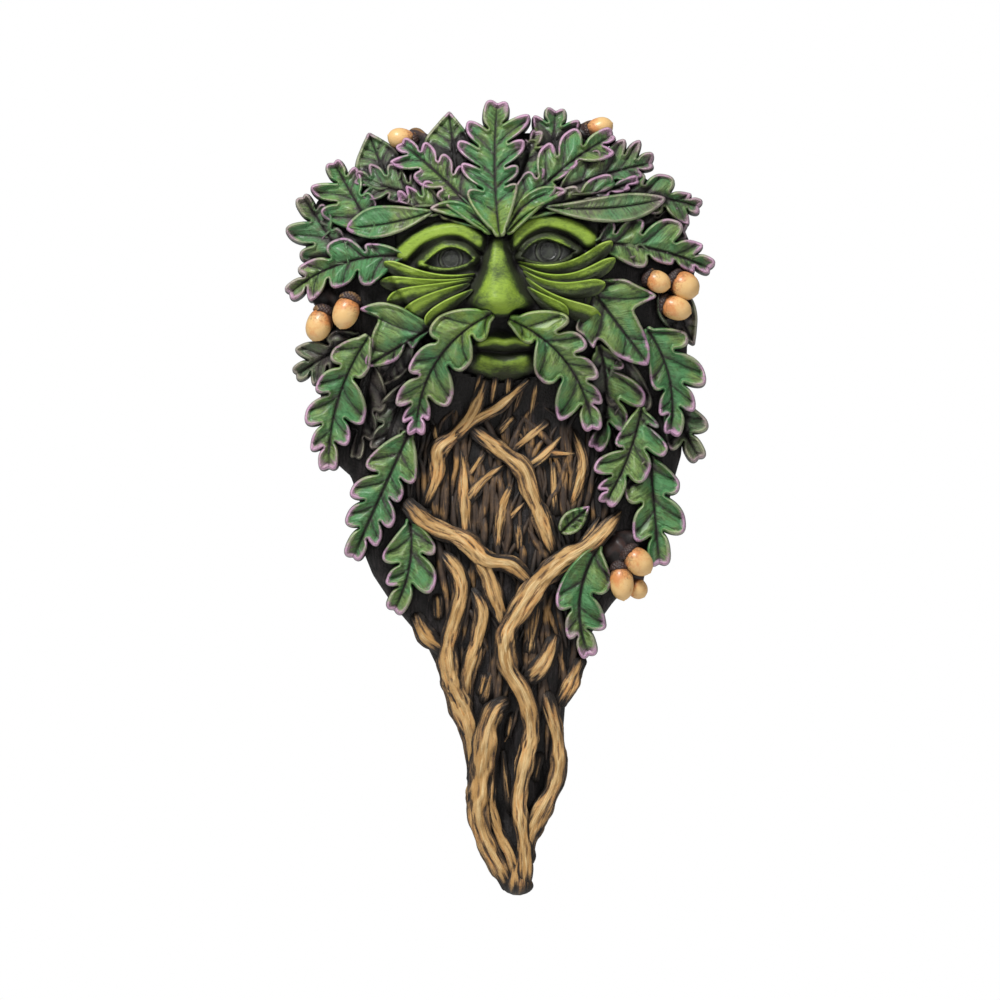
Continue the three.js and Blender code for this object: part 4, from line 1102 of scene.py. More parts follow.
def carve_face(finish):
    left, right, low, high = FACE_SPAN
    x, z = np.meshgrid(np.arange(left, right, FACE_STEP), np.arange(high, low, -FACE_STEP))
    relief = face_relief(x, z)
    edge = inside_face(x, z)
    sunk = smooth_step(edge, 0, 10)
    depth = ground_depth(x, z) + relief * sunk - 22 * (1 - sunk)
    raised = smooth_step(relief - smoothed(relief, [1] * FACE_AVERAGE), -2, 7) * smooth_step(z, -90, -66)
    raised *= 1 - 0.35 * smooth_step(-z, 36, 60)
    raised *= 1 - 0.3 * hill(x, z, (1, 26), (20, 9))
    for wing in NOSE_WINGS:
        raised *= 1 - 0.75 * hill(x, z, wing, (9, 10))
    for lid in UPPER_LIDS + LOWER_LIDS:
        raised *= 1 - 0.5 * bell(gap_to(lid, x, z), 6, 4)
    face = Carving("face", finish)
    corners = (x.min(), z.min()), (x.max(), z.max())
    # Painted shadow: the face turns black towards its border, under the leaves and below the chin
    side = smooth_step(edge, 13, 4)
    rim, loop = face.add_bed(x, z, depth, corners, edge=raised.ravel(), side=side.ravel())
    back = face.add_run(loop, FACE_BACK)
    face.add_wall(rim, back)
    face.add_lid(loop, back, corners, len(loop))
    return face.piece()


def carve_eye(eye, upper, lower, finish):
    """An eyeball with the iris cut into it as a ring and the pupil as a dish with a notch."""
    cx, cz = eye["at"]
    opening = np.concatenate([curve_through(upper)[:-1], curve_through(lower)[:0:-1]])
    if is_clockwise(opening):
        opening = opening[::-1]
    outline = opening + outward(opening) * 2.6

    def depth(flat, x, z, gap):
        from_iris = np.hypot(x - cx, z - cz)
        iris = -0.9 * bell(from_iris - eye["iris"], 0.9)
        pupil = 0.4 * bell(from_iris - eye["pupil"] - 0.3, 0.7)
        pupil = pupil - 0.8 * smooth_step(from_iris, eye["pupil"], eye["pupil"] - 1)
        notch = 1.5 * bell(np.hypot(x - cx, z - cz - eye["pupil"] + 1), 1.8)
        return ground_depth(x, z) + FACE_LIFT + eyeball(x, z, eye["at"]) - 3.5 + iris + pupil + notch

    def marks(flat, x, z, gap):
        from_iris = np.hypot(x - cx, z - cz)
        ring = np.maximum(bell(from_iris - eye["iris"], 1.1), bell(from_iris - eye["pupil"], 0.9))
        # Painted shadow under the upper lid and along the opening; a painted highlight line just inside the
        # iris ring
        lid_shade = smooth_step(z - cz, 2, 16) * 0.6 + 0.9 * bell(np.maximum(gap - 2.6, 0), 2.2)
        line = 0.6 * bell(from_iris - eye["iris"] + 1.8, 0.8)
        return {"groove": np.maximum(0.9 * ring, np.minimum(lid_shade, 1)), "edge": line}

    ball = Carving(eye["name"], finish)
    relief_shell(ball, outline, [], 0.8, as_drawn, depth,
                 lambda x, z: ground_depth(x, z) - BURIED, marks, flare=0, rings=(0.5, 1.1))
    return ball.piece()


def is_clockwise(loop):
    ahead = np.roll(loop, -1, axis=0)
    return (loop[:, 0] * ahead[:, 1] - ahead[:, 0] * loop[:, 1]).sum() < 0


def acorn_frame(at, turn, lift):
    """Middle of an acorn and the directions of its tip and of its sides; the tip leans off the wall."""
    lean, turn = math.radians(ACORN_LEAN), math.radians(turn)
    tip = np.array([math.cos(turn) * math.cos(lean), math.sin(turn) * math.cos(lean), math.sin(lean)])
    side = np.array([-math.sin(turn), math.cos(turn), 0])
    middle = np.array([*at, float(ground_depth(np.array(at[0]), np.array(at[1]))) + lift])
    return middle, tip, side, np.cross(tip, side)


def turned_shell(carving, frame_of, profile, marks):
    """A shell turned round an axis from (along, radius) points that start and end on it."""
    middle, tip, side, up = frame_of
    angle = np.linspace(0, 2 * math.pi, TURNED_SIDES, endpoint=False)
    ring = np.cos(angle)[:, None] * side + np.sin(angle)[:, None] * up
    body = profile[1:-1]
    points = middle + body[:, None, :1] * tip + body[:, None, 1:] * ring[None]
    heights = np.linspace(0.02, 0.98, len(profile))
    wrapped, places = carving.add_tube(points, heights[1:-1], **marks(np.repeat(body[:, 0], TURNED_SIDES)))
    poles = profile[[0, -1], 0]
    hub = carving.add_points(middle + poles[:, None] * tip, **marks(poles))
    for row, pole in ((0, hub), (-1, hub + 1)):
        near = places[row]
        peak = np.stack([(near[:-1, 0] + near[1:, 0]) / 2, np.full(TURNED_SIDES, heights[row])], 1)
        fan = np.stack([wrapped[row, :-1], np.full(TURNED_SIDES, pole), wrapped[row, 1:]], 1)
        spots = np.stack([near[:-1], peak, near[1:]], 1)
        way = -1 if row else 1
        carving.add_faces(fan[:, ::way], spots[:, ::way])
    carving.next_shell()


def carve_acorns(name, acorns, nut_finish, cup_finish, tree):
    """A cluster of acorns: egg-shaped nuts with a point, cups with a lip, and the scales of the cups."""
    egg = [(s, math.sqrt(1 - abs(s) ** 2.3) * (1 - 0.05 * s)) for s in np.linspace(-0.9, 0.96, 19)]
    nut = np.array([(-0.95, 0), *egg, (1, 0.13), (1.04, 0.06), (1.05, 0)])
    bowl = [(-0.78 - 0.5 * math.sin(a), 0.86 * math.cos(a)) for a in np.linspace(1.45, 0, 9)]
    cup = np.array([(-1.29, 0), *bowl, (-0.72, 0.86), (-0.68, 0.78), (-0.76, 0.6), (-0.85, 0)])
    nuts = Carving(name + "_nuts", nut_finish, len(acorns))
    cups = Carving(name + "_cups", cup_finish, len(acorns))
    seats = []
    for at, size, turn, lift in acorns:
        half, wide = size
        placed = acorn_frame(at, turn, lift)
        turned_shell(nuts, placed, nut * size, lambda along: {"edge": smooth_step(-along / half, -0.5, 0.7)})
        turned_shell(cups, placed, cup * size, lambda along: {})
        seats += cup_seats(placed, half, wide)
    return [nuts.piece(), cups.piece(), scaled_cups(name + "_cup_scales", seats, cup_finish, tree)]


def cup_seats(placed, half, wide):
    """Places for the scales of a cup, in a spiral from foot to lip: point, outward direction, size."""
    middle, tip, side, up = placed
    golden = math.radians(137.5)
    seats = []
    for k in range(CUP_SCALES):
        height = math.asin(1 - (k + 0.5) / CUP_SCALES)
        ring = math.cos(golden * k) * side + math.sin(golden * k) * up
        out = math.cos(height) * ring - 0.85 * math.sin(height) * tip
        spot = middle - half * (0.75 + 0.5 * math.sin(height)) * tip + 0.86 * wide * math.cos(height) * ring
        seats.append((spot, out / np.linalg.norm(out), wide / 12))
    return seats


def arc(centre, radius, start, end, count):
    turn = np.radians(np.linspace(start, end, count))
    return np.stack([centre[0] + radius * np.cos(turn), centre[1] + radius * np.sin(turn)], 1)


def keyhole_runs():
    """The keyhole as seen from the front: its round foot, the sides of its slot and those of its pocket."""
    head, neck = SCREW_HEAD_HOLE / 2 / UNIT, SCREW_NECK_SLOT / 2 / UNIT
    low = (0, HANGING_HEIGHT / UNIT)
    high = (0, (HANGING_HEIGHT + SCREW_TRAVEL) / UNIT)
    meet = math.degrees(math.acos(neck / head))
    foot = arc(low, head, 180, 360, 25)
    slot = np.concatenate([
        arc(low, head, 0, meet, 9)[1:], arc(high, neck, 0, 180, 13), arc(low, head, 180 - meet, 180, 9)[:-1],
    ])
    pocket = arc(high, head, 0, 180, 25)
    return foot, slot, pocket


def carve_ground(finish):
    """The body of the casting: a dark bed in front, a flat back and a keyhole for a wall screw."""
    rows = np.linspace(GROUND_EDGE[0][0], GROUND_EDGE[-1][0], GROUND_NET[0])[:, None]
    left, right = ground_sides(rows)
    share = np.linspace(0, 1, GROUND_NET[1])[None]
    x = left * (1 - share) + right * share
    z = np.repeat(rows, GROUND_NET[1], 1)
    gap = np.minimum(np.minimum(x - left, right - x), np.minimum(rows[0] - z, z - rows[-1]))
    streaks = np.sin(x / 2.3 + 1.7 * np.sin(z / 19)) + np.sin(x / 3.9 - 1.3 * np.sin(z / 27 + 1))
    lumps = np.sin(x / 11 + z / 17) * np.sin(z / 13 - x / 23)
    depth = ground_depth(x, z) + 0.5 * streaks + 1.2 * lumps - 6 * np.exp(-gap / 2.5)
    for at, size in BEARD_HOLLOWS:
        depth -= 9 * hill(x, z, at, size)
    under_face = inside_face(x, z)
    depth -= FACE_BED * smooth_step(under_face, 8, 13)
    # Dark streaks of the bed, and painted shade darkening the bed round the face and under it
    groove = smooth_step(-streaks, 0.2, 1.6) + 2 * smooth_step(under_face, -26, 2)
    ground = Carving("ground", finish)
    rim, loop = ground.add_bed(x, z, depth, GROUND_MAP, groove=groove.ravel())

    lip, floor = KEYHOLE_LIP / UNIT, KEYHOLE_DEPTH / UNIT
    foot, slot, pocket = keyhole_runs()
    keyhole = np.concatenate([foot, slot])
    chamber = np.concatenate([foot, pocket[1:-1]])
    back = ground.add_run(loop, 0)
    ground.add_wall(rim, back)
    mouth = ground.add_run(keyhole, 0)
    ground.add_lid(np.concatenate([loop, keyhole]), np.concatenate([back, mouth]), GROUND_MAP, len(loop),
                   hole=keyhole)
    inner = ground.add_run(keyhole, lip)
    ground.add_wall(mouth, inner, 1)
    upper = ground.add_run(pocket[1:-1], lip)
    ledge = np.concatenate([keyhole[len(foot) - 1:], keyhole[:1], pocket[-2:0:-1]])
    ledge_numbers = np.concatenate([inner[len(foot) - 1:], inner[:1], upper[::-1]])
    ground.add_lid(ledge, ledge_numbers, GROUND_MAP, len(ledge))
    end = ground.add_run(chamber, floor)
    ground.add_wall(np.concatenate([inner[:len(foot)], upper]), end, 2)
    ground.add_lid(chamber, end, GROUND_MAP, len(chamber))
    piece = ground.piece()
    face_outwards(piece.data)
    return piece


def face_outwards(mesh):
    shape = bmesh.new()
    shape.from_mesh(mesh)
    bmesh.ops.recalc_face_normals(shape, faces=shape.faces)
    shape.to_mesh(mesh)
    shape.free()


def carve_knot(knots, order, at, half, top):
    """A lump of twigs and empty cups with a rough top."""
    turn = np.linspace(0, 2 * math.pi, 60, endpoint=False)
    reach = 1 + 0.1 * np.sin(3 * turn + order) + 0.06 * np.sin(5 * turn + 2 * order)
    outline = np.array(at) + np.stack([half[0] * reach * np.cos(turn), half[1] * reach * np.sin(turn)], 1)

    def fold(x, z):
        return np.sin(x / 3.1 + 1.4 * np.sin(z / 5 + order)) + np.sin(z / 3.7 - 1.2 * np.sin(x / 6 - order))

    def depth(flat, x, z, gap):
        away = np.hypot((x - at[0]) / half[0], (z - at[1]) / half[1])
        return top * (1 - 0.22 * away ** 2) + 1.1 * fold(x, z)

    def marks(flat, x, z, gap):
        return {"groove": smooth_step(-fold(x, z), 0, 1.4), "dull": 0.5}

    relief_shell(knots, outline, [], 1.4, as_drawn, depth,
                 lambda x, z: bed_depth(x, z, 0.5 + 0.1 * order), marks)


def carve_knots(finish):
    """Twigs and empty cups that the acorns grow from."""
    knots = Carving("twig_knots", finish, len(TWIG_KNOTS))
    for order, (at, half, top) in enumerate(TWIG_KNOTS):
        carve_knot(knots, order, at, half, top)
    return knots.piece()


def rootlet_runs(count):
    """Runs for the rootlets: from all over the beard down towards its tip, with a wandering course."""
    chance = np.random.default_rng(23)
    runs = []
    for _ in range(count):
        z = -98 - 280 * chance.random() ** 1.3
        left, right = ground_sides(np.array(z))
        x = left + (right - left) * (0.22 + 0.6 * chance.random())
        run = [(x, z)]
        lean = chance.normal(0, 6)
        for _ in range(chance.integers(3, 6)):
            z -= chance.uniform(12, 22)
            left, right = ground_sides(np.array(z))
            x = float(np.clip(x + lean + chance.normal(0, 2.5), left + 6, right - 6))
            lean *= 0.7
            run.append((x, z))
        runs.append((run, chance.uniform(1.6, 4.2)))
    return runs


def tree_with(name, inputs):
    tree = bpy.data.node_groups.new(name, "GeometryNodeTree")
    tree.interface.new_socket("Geometry", in_out="INPUT", socket_type="NodeSocketGeometry")
    for label, kind, value in inputs:
        socket = tree.interface.new_socket(label, in_out="INPUT", socket_type=kind)
        if value is not None:
            socket.default_value = value
    tree.interface.new_socket("Geometry", in_out="OUTPUT", socket_type="NodeSocketGeometry")
    return tree, tree.nodes.new("NodeGroupInput").outputs, tree.nodes.new("NodeGroupOutput")


def tree_node(tree, kind, settings=None, sockets=None):
    """Adds a node, with its settings set first and then the values or links of its sockets: its outputs."""
    node = tree.nodes.new(kind)
    for key, value in (settings or {}).items():
        setattr(node, key, value)
    for key, value in (sockets or {}).items():
        if isinstance(value, bpy.types.NodeSocket):
            tree.links.new(value, node.inputs[key])
        else:
            node.inputs[key].default_value = value
    return node.outputs


def finish_tree(tree, end, geometry, material):
    """Ends a tree: smooth shading, plain mesh instead of instances, and the paint."""
    for kind in ("GeometryNodeSetShadeSmooth", "GeometryNodeRealizeInstances"):
        geometry = tree_node(tree, kind, None, {"Geometry": geometry})["Geometry"]
    painted = tree_node(tree, "GeometryNodeSetMaterial", None, {"Geometry": geometry, "Material": material})
    tree.links.new(painted["Geometry"], end.inputs["Geometry"])


def scale_tree():
    """Overlapping scales of an acorn cup: a low bump on every seat, turned to face outwards."""
    tree, given, end = tree_with("cup scales", [
        ("Scale Size", "NodeSocketFloat", 0.0008),
        ("Flatness", "NodeSocketFloat", 0.55),
        ("Unevenness", "NodeSocketFloat", 0.2),
        ("Seed", "NodeSocketInt", 7),
        ("Paint", "NodeSocketMaterial", None),
    ])

    def add(kind, settings=None, **sockets):
        return tree_node(tree, kind, settings, sockets)

    def mark(name, kind):
        return add("GeometryNodeInputNamedAttribute", {"data_type": kind}, Name=name)["Attribute"]

    def math_node(operation, first, second):
        return tree_node(tree, "ShaderNodeMath", {"operation": operation}, {0: first, 1: second})[0]

    bump = add("GeometryNodeMeshUVSphere", Radius=given["Scale Size"], Segments=8, Rings=5)
    flat = add("ShaderNodeCombineXYZ", X=1.0, Y=1.0, Z=given["Flatness"])
    low = add("GeometryNodeTransform", Geometry=bump["Mesh"], Scale=flat["Vector"])
    turn = add("FunctionNodeAlignRotationToVector", {"axis": "Z"}, Vector=mark("facing", "FLOAT_VECTOR"))
    least = math_node("SUBTRACT", 1.0, given["Unevenness"])
    vary = tree_node(tree, "FunctionNodeRandomValue", {"data_type": "FLOAT"},
                     {2: least, 3: 1.0, "Seed": given["Seed"]})
    size = math_node("MULTIPLY", mark("size", "FLOAT"), vary[1])
    placed = add("GeometryNodeInstanceOnPoints", Points=given["Geometry"], Instance=low["Geometry"],
                 Rotation=turn["Rotation"], Scale=size)
    finish_tree(tree, end, placed["Instances"], given["Paint"])
    return tree


def strand_tree():
    """Rootlets: a round strand along every line, as thick as the line says."""
    tree, given, end = tree_with("rootlets", [
        ("Thickness", "NodeSocketFloat", UNIT),
        ("Sides", "NodeSocketInt", 9),
        ("Paint", "NodeSocketMaterial", None),
    ])
    line = tree_node(tree, "GeometryNodeMeshToCurve", None, {"Mesh": given["Geometry"]})
    ring = tree_node(tree, "GeometryNodeCurvePrimitiveCircle", None,
                     {"Resolution": given["Sides"], "Radius": given["Thickness"]})
    thick = tree_node(tree, "GeometryNodeInputNamedAttribute", {"data_type": "FLOAT"}, {"Name": "thick"})
    tube = tree_node(tree, "GeometryNodeCurveToMesh", None, {
        "Curve": line["Curve"],
        "Profile Curve": ring["Curve"],
        "Scale": thick["Attribute"],
        "Fill Caps": True,
    })
    finish_tree(tree, end, tube["Mesh"], given["Paint"])
    return tree


def grown_from(name, seed_mesh, tree, values):
    """The plain mesh that a tree makes of a mesh, as a piece of its own."""
    holder = add_object(name + "_seats", seed_mesh)
    modifier = holder.modifiers.new("grow", "NODES")
    modifier.node_group = tree
    for socket in tree.interface.items_tree:
        if getattr(socket, "in_out", None) == "INPUT" and socket.name in values:
            modifier[socket.identifier] = values[socket.name]
    shape = holder.evaluated_get(bpy.context.evaluated_depsgraph_get())
    mesh = bpy.data.meshes.new_from_object(shape)
    bpy.data.objects.remove(holder)
    mesh.name = name
    return show(mesh, name, values["Paint"])


def scaled_cups(name, seats, finish, tree):
    spots, faces, sizes = (np.array(column) for column in zip(*seats))
    mesh = bpy.data.meshes.new(name + "_seats")
    mesh.from_pydata(in_scene(spots) * UNIT, [], [])
    facing = mesh.attributes.new("facing", "FLOAT_VECTOR", "POINT")
    facing.data.foreach_set("vector", in_scene(faces).astype(np.float32).ravel())
    mark_mesh(mesh, "size", sizes)
    return grown_from(name, mesh, tree, {"Scale Size": 2.0 * UNIT, "Seed": 7, "Paint": finish})


def rootlets(name, runs, finish, tree):
    """Thin dark strands that fill the hollows of the beard."""
    points, edges, thick = [], [], []
    for run, widest in runs:
        line = even_steps(curve_through(run), 3)
        share = np.linspace(0, 1, len(line))
        size = widest * (0.35 + 0.65 * np.sin(math.pi * share))
        depth = ground_depth(line[:, 0], line[:, 1]) + 0.45 * size - 2.5 * (2 * share - 1) ** 4
        first = len(points)
        points += np.stack([line[:, 0], -depth, line[:, 1]], 1).tolist()
        edges += [(first + k, first + k + 1) for k in range(len(line) - 1)]
        thick += size.tolist()
    mesh = bpy.data.meshes.new(name + "_lines")
    mesh.from_pydata(np.array(points) * UNIT, edges, [])
    mark_mesh(mesh, "thick", thick)
    return grown_from(name, mesh, tree, {"Thickness": UNIT, "Sides": 9, "Paint": finish})


def paint(rgb):
    """A paint colour as the shader takes it."""
    shares = [c / 255 for c in rgb]
    linear = [c / 12.92 if c <= 0.04045 else ((c + 0.055) / 1.055) ** 2.4 for c in shares]
    return (*linear, 1.0)


class Value:
    """A number that varies over a surface; sums and products of it add Math nodes."""

    def __init__(self, finish, socket):
        self.finish = finish
        self.socket = socket

    def math(self, operation, first, second):
        return self.finish.node("ShaderNodeMath", {"operation": operation}, {0: first, 1: second})

    def __add__(self, other):
        return self.math("ADD", self, other)

    def __sub__(self, other):
        return self.math("SUBTRACT", self, other)

    def __rsub__(self, other):
        return self.math("SUBTRACT", other, self)

    def __mul__(self, other):
        return self.math("MULTIPLY", self, other)

    __radd__ = __add__
    __rmul__ = __mul__


class Finish:
    """A painted finish, built up from nodes: a first paint, and others laid over it."""

    def __init__(self, name, first):
        self.material = bpy.data.materials.new(name)
        self.material.use_nodes = True
        self.tree = self.material.node_tree
        self.shader = self.tree.nodes["Principled BSDF"]
        self.place = self.node("ShaderNodeTexCoord", out="Object")
        self.colour = paint(first)

    def node(self, kind, settings=None, sockets=None, out=0):
        plain = {key: getattr(value, "socket", value) for key, value in (sockets or {}).items()}
        return Value(self, tree_node(self.tree, kind, settings, plain)[out])

    def marks(self, *names):
        return [self.node("ShaderNodeAttribute", {"attribute_name": name}, out="Fac") for name in names]

    def step(self, value, low, high):
        """From 0 to 1 in a soft step between two values."""
        return self.node("ShaderNodeMapRange", {"interpolation_type": "SMOOTHSTEP"},
                         {"Value": value, "From Min": low, "From Max": high})

    def mix(self, share, first, second):
        return self.node("ShaderNodeMix", {"data_type": "RGBA"}, {0: share, 6: first, 7: second}, out=2)

    def tint(self, colour, share):
        """Lays a paint over the others by a share."""
        self.colour = self.mix(share, self.colour, paint(colour))

    def lay(self, colour, value, low, high, strength=1.0):
        """Lays a paint over the others, the more of it the higher a value is."""
        self.tint(colour, self.step(value, low, high) * strength)

    def noise(self, scale, detail, rough, stretch=None, where=None):
        """A cloudy pattern that varies about 0."""
        where = where or self.place
        if stretch:
            where = self.node("ShaderNodeVectorMath", {"operation": "MULTIPLY"}, {0: where, 1: stretch})
        return self.node("ShaderNodeTexNoise", sockets={
            "Vector": where, "Scale": scale, "Detail": detail, "Roughness": rough,
        }) - 0.5

    def grain(self, detail, rough, stretch):
        """A pattern that follows the veins of a leaf or the run of a root."""
        return self.noise(1.0, detail, rough, stretch, self.node("ShaderNodeUVMap", {"uv_map": "grain"}))

    def finished(self, roughness, height, relief, coat, coat_roughness):
        """Joins all to the shader, and gives the back of the casting its plain grey."""
        depth = self.node("ShaderNodeSeparateXYZ", sockets={0: self.place}, out="Y")
        self.lay(BACK_GREY, depth, -0.0017, -0.0012)
        bump = self.node("ShaderNodeBump", sockets={"Strength": 1.0, "Distance": relief, "Height": height})
        inputs = self.shader.inputs
        for name, value in (("Base Color", self.colour), ("Roughness", roughness), ("Normal", bump)):
            self.tree.links.new(value.socket, inputs[name])
        inputs["Specular IOR Level"].default_value = 0.4
        inputs["Coat Weight"].default_value = coat
        inputs["Coat Roughness"].default_value = coat_roughness
        return self.material


def leaf_paint():
    """Greens laid over each other, lilac brushed on the lobes' rims, and a dark wash with painted shade in
    veins and hollows.
    """
    f = Finish("leaf_paint", EMERALD)
    edge, groove, side, dull = f.marks("edge", "groove", "side", "dull")
    wash_and_shade, crest, sun = f.marks("wash_and_shade", "crest", "sun")
    cloud = f.noise(42, 3, 0.5)
    patch = f.noise(150, 4, 0.62)
    grit = f.noise(700, 3, 0.65)
    speck = f.noise(1300, 2, 0.5)
    brush = f.grain(4, 0.65, (0.42, 0.07, 1.0))
    f.lay(SAP_GREEN, cloud + patch * 0.5, -0.14, 0.16)
    # Painted shade and highlight in the greens: deeper green in the grooves, fresher green on the crests
    f.lay(DEEP_GREEN, patch * 0.9 + brush * 2.2 + groove * 0.6 + grit * 0.5 - crest * 0.4, -0.05, 0.6, 0.85)
    f.lay(FRESH_GREEN, crest * 0.5 + cloud * 0.8 - brush * 1.8 + grit * 0.7, 0.1, 0.7, 0.65)
    f.lay(MOSS, patch + brush * 1.4, 0, 0.25, 0.4)
    f.lay(LIME, sun + patch * 1.2, 0.35, 0.9, 0.5)
    f.lay(GREY_GREEN, dull + patch * 0.5, 0.15, 0.95, 0.75)
    f.lay(PLUM_BLUSH, edge * 0.9 + dull * 0.7 + cloud * 1.4 + brush * 1.4, 0.3, 0.95, 0.7)
    # Painted highlight with the dry brush: pale sage on the crests
    f.lay(PALE_SAGE, crest + grit * 0.8 + brush * 1.2 + cloud, 0.25, 1.15, 0.55)
    rim = f.mix(f.step(dull, 0.15, 0.6), paint(LILAC), paint(DUSTY_LILAC))
    rim = f.mix(f.step(sun, 0.15, 0.6), rim, paint(LIME))
    rim = f.mix(f.step(cloud + grit * 0.5, 0.06, 0.2) * 0.7, rim, paint(PALE_EDGE))
    brushed = f.step(edge + patch * 1.2 + brush * 0.8 + grit * 0.6, 0.3, 0.95)
    f.colour = f.mix(brushed * 0.78, f.colour, rim)
    # Dark vein lines; painted shade in the hollows along them, where the wash gathers and on the near-black
    # sides
    f.lay(LEAF_SHADE, groove + grit * 0.5, 0.35, 1.0, 0.92)
    f.lay(PLUM_SHADE, wash_and_shade * 1.3 + patch * 0.9 + grit * 0.6 - crest * 0.4, 0.15, 0.7, 0.85)
    f.lay(LEAF_SHADE, speck, 0.1, 0.22, 0.5)
    f.lay(SHADE_AND_WASH_BLACK, wash_and_shade + grit * 0.3, 0.25, 0.8)
    f.tint(SHADE_AND_WASH_BLACK, side * 0.85)
    return f.finished(0.505 + 0.25 * grit, grit * 0.5 + patch * 0.5 + brush * 1.2, 0.0011, 0.3, 0.3)


def face_paint():
    """Lime stippled over moss on what stands out; olive and black in the hollows as a dark wash with painted
    shade.
    """
    f = Finish("face_paint", OLIVE_SHADE)
    edge, groove, side, crest, wash_and_shade = f.marks("edge", "groove", "side", "crest", "wash_and_shade")
    wash_and_shade = wash_and_shade * (1 - edge * 0.6)
    cloud = f.noise(75, 3, 0.55)
    stipple = f.noise(700, 4, 0.78, (0.55, 1.0, 1.3))
    grit = f.noise(1700, 2, 0.6)
    high = edge * 0.8 + crest * 0.45 + cloud * 1.3
    f.lay(MOSS, high + stipple * 0.8, 0.1, 0.55)
    f.lay(LIME, high + stipple * 1.1, 0.3, 0.95, 0.92)
    f.lay(PALE_LIME, high + grit + stipple, 0.95, 1.35, 0.7)
    # Painted shade: olive on the lower sides of the fronds, olive then black where the wash gathers, black at
    # the border
    f.lay(OLIVE_SHADE, groove + stipple * 0.6, 0.15, 0.9, 0.8)
    f.lay(OLIVE_SHADE, wash_and_shade + stipple * 0.5, 0.02, 0.5, 0.75)
    f.lay(SHADE_AND_WASH_BLACK, wash_and_shade + stipple * 0.4, 0.3, 0.95)
    f.tint(SHADE_AND_WASH_BLACK, side * 0.95)
    return f.finished(0.545 + 0.25 * grit, stipple + grit * 0.4, 0.0008, 0.15, 0.35)


def root_paint(name, bright):
    """Tan and ochre brushed over bark whose grain stays brown and black, with painted shade on flanks and
    ends.
    """
    f = Finish(name, ROOT_OCHRE)
    groove, side, dull, wash_and_shade, crest = f.marks("groove", "side", "dull", "wash_and_shade", "crest")
    fibre = f.grain(4, 0.7, (0.34, 0.016, 1.0))
    fine = f.grain(3, 0.7, (1.1, 0.045, 1.0))
    cloud = f.noise(70, 3, 0.5)
    grit = f.noise(900, 3, 0.6)
    # The bark's grooves are painted dark; painted shade on flanks, ends and hollows, a little painted
    # highlight on the crest
    shade = groove * 0.5 + side * 0.95 + dull * 0.9 + wash_and_shade * 0.8 - crest * 0.2 - bright
    f.lay(ROOT_TAN, cloud, -0.15, 0.15)
    f.lay(ROOT_ORANGE, cloud + fibre * 1.6, 0, 0.16, 0.6)
    f.lay(ROOT_CREAM, fine * 1.9 + fibre * 1.8 - shade, -0.2, 0.45, 0.85)
    f.lay(ROOT_BROWN, fibre * 2.2 + fine * 0.9 + grit * 0.5 + shade, 0.1, 0.8, 0.92)
    f.lay(SHADE_AND_WASH_BLACK, fine * 1.9 + fibre * 1.6 + grit * 0.5 + shade, 0.55, 1.05, 0.95)
    return f.finished(0.58 + 0.2 * fine, fine * 0.8 + fibre * 1.2 + grit * 0.2, 0.0009, 0.08, 0.35)


def rootlet_paint():
    """Thin strands left mostly brown, with a little ochre where they stand out."""
    f = Finish("rootlet_paint", BARK_DARK)
    wash_and_shade, crest = f.marks("wash_and_shade", "crest")
    patch = f.noise(120, 3, 0.6)
    fibre = f.noise(1.0, 3, 0.6, (900, 900, 120))
    cloud = f.noise(60, 2, 0.5)
    f.lay(ROOT_BROWN, patch + fibre * 0.8, -0.15, 0.2)
    # Ochre where they stand out, a dry brush with painted highlight; black with painted shade where the wash
    # gathers
    f.lay(ROOT_OCHRE, crest * 0.6 + fibre * 1.4 + cloud * 2 + patch, 0.05, 0.75, 0.8)
    f.lay(SHADE_AND_WASH_BLACK, wash_and_shade + fibre * 0.6, 0.1, 0.6, 0.92)
    return f.finished(0.6 + 0.2 * fibre, fibre, 0.0004, 0.05, 0.35)


def ground_paint():
    """The dark bed under the carving, streaked like wet bark."""
    f = Finish("ground_paint", SHADE_AND_WASH_BLACK)
    groove, wash_and_shade = f.marks("groove", "wash_and_shade")
    streak = f.noise(1.0, 4, 0.6, (700, 700, 90))
    grit = f.noise(700, 3, 0.6)
    f.lay(PLUM_GREY, streak - groove * 0.2, -0.15, 0.2, 0.9)
    # Black where the wash gathers, with painted shade in the hollows and round the face
    f.lay(SHADE_AND_WASH_BLACK, wash_and_shade * 0.6 + groove * 0.3 + grit * 0.5, 0.05, 0.7, 0.9)
    return f.finished(0.625 + 0.25 * grit, streak + grit * 0.4, 0.0012, 0.0, 0.4)


def nut_paint():
    """Cream nuts, orange towards the cup, with a satin gloss."""
    f = Finish("nut_paint", ACORN_CREAM)
    edge, wash_and_shade = f.marks("edge", "wash_and_shade")
    cloud = f.noise(160, 3, 0.5)
    grit = f.noise(900, 3, 0.6)
    f.lay(ACORN_ORANGE, edge * 0.8 + cloud * 2.4 + grit * 0.8, 0.0, 0.8)
    f.lay(ROOT_BROWN, edge * 0.5 + grit * 1.6 - cloud, 0.25, 0.75, 0.5)
    # Cup brown towards the cup, with painted shade where the wash gathers below its lip
    f.lay(CUP_BROWN, edge * 0.6 + wash_and_shade * 1.2 + grit * 0.4, 0.5, 1.1, 0.85)
    return f.finished(0.44 + 0.2 * grit, grit + cloud * 0.3, 0.00012, 0.35, 0.22)


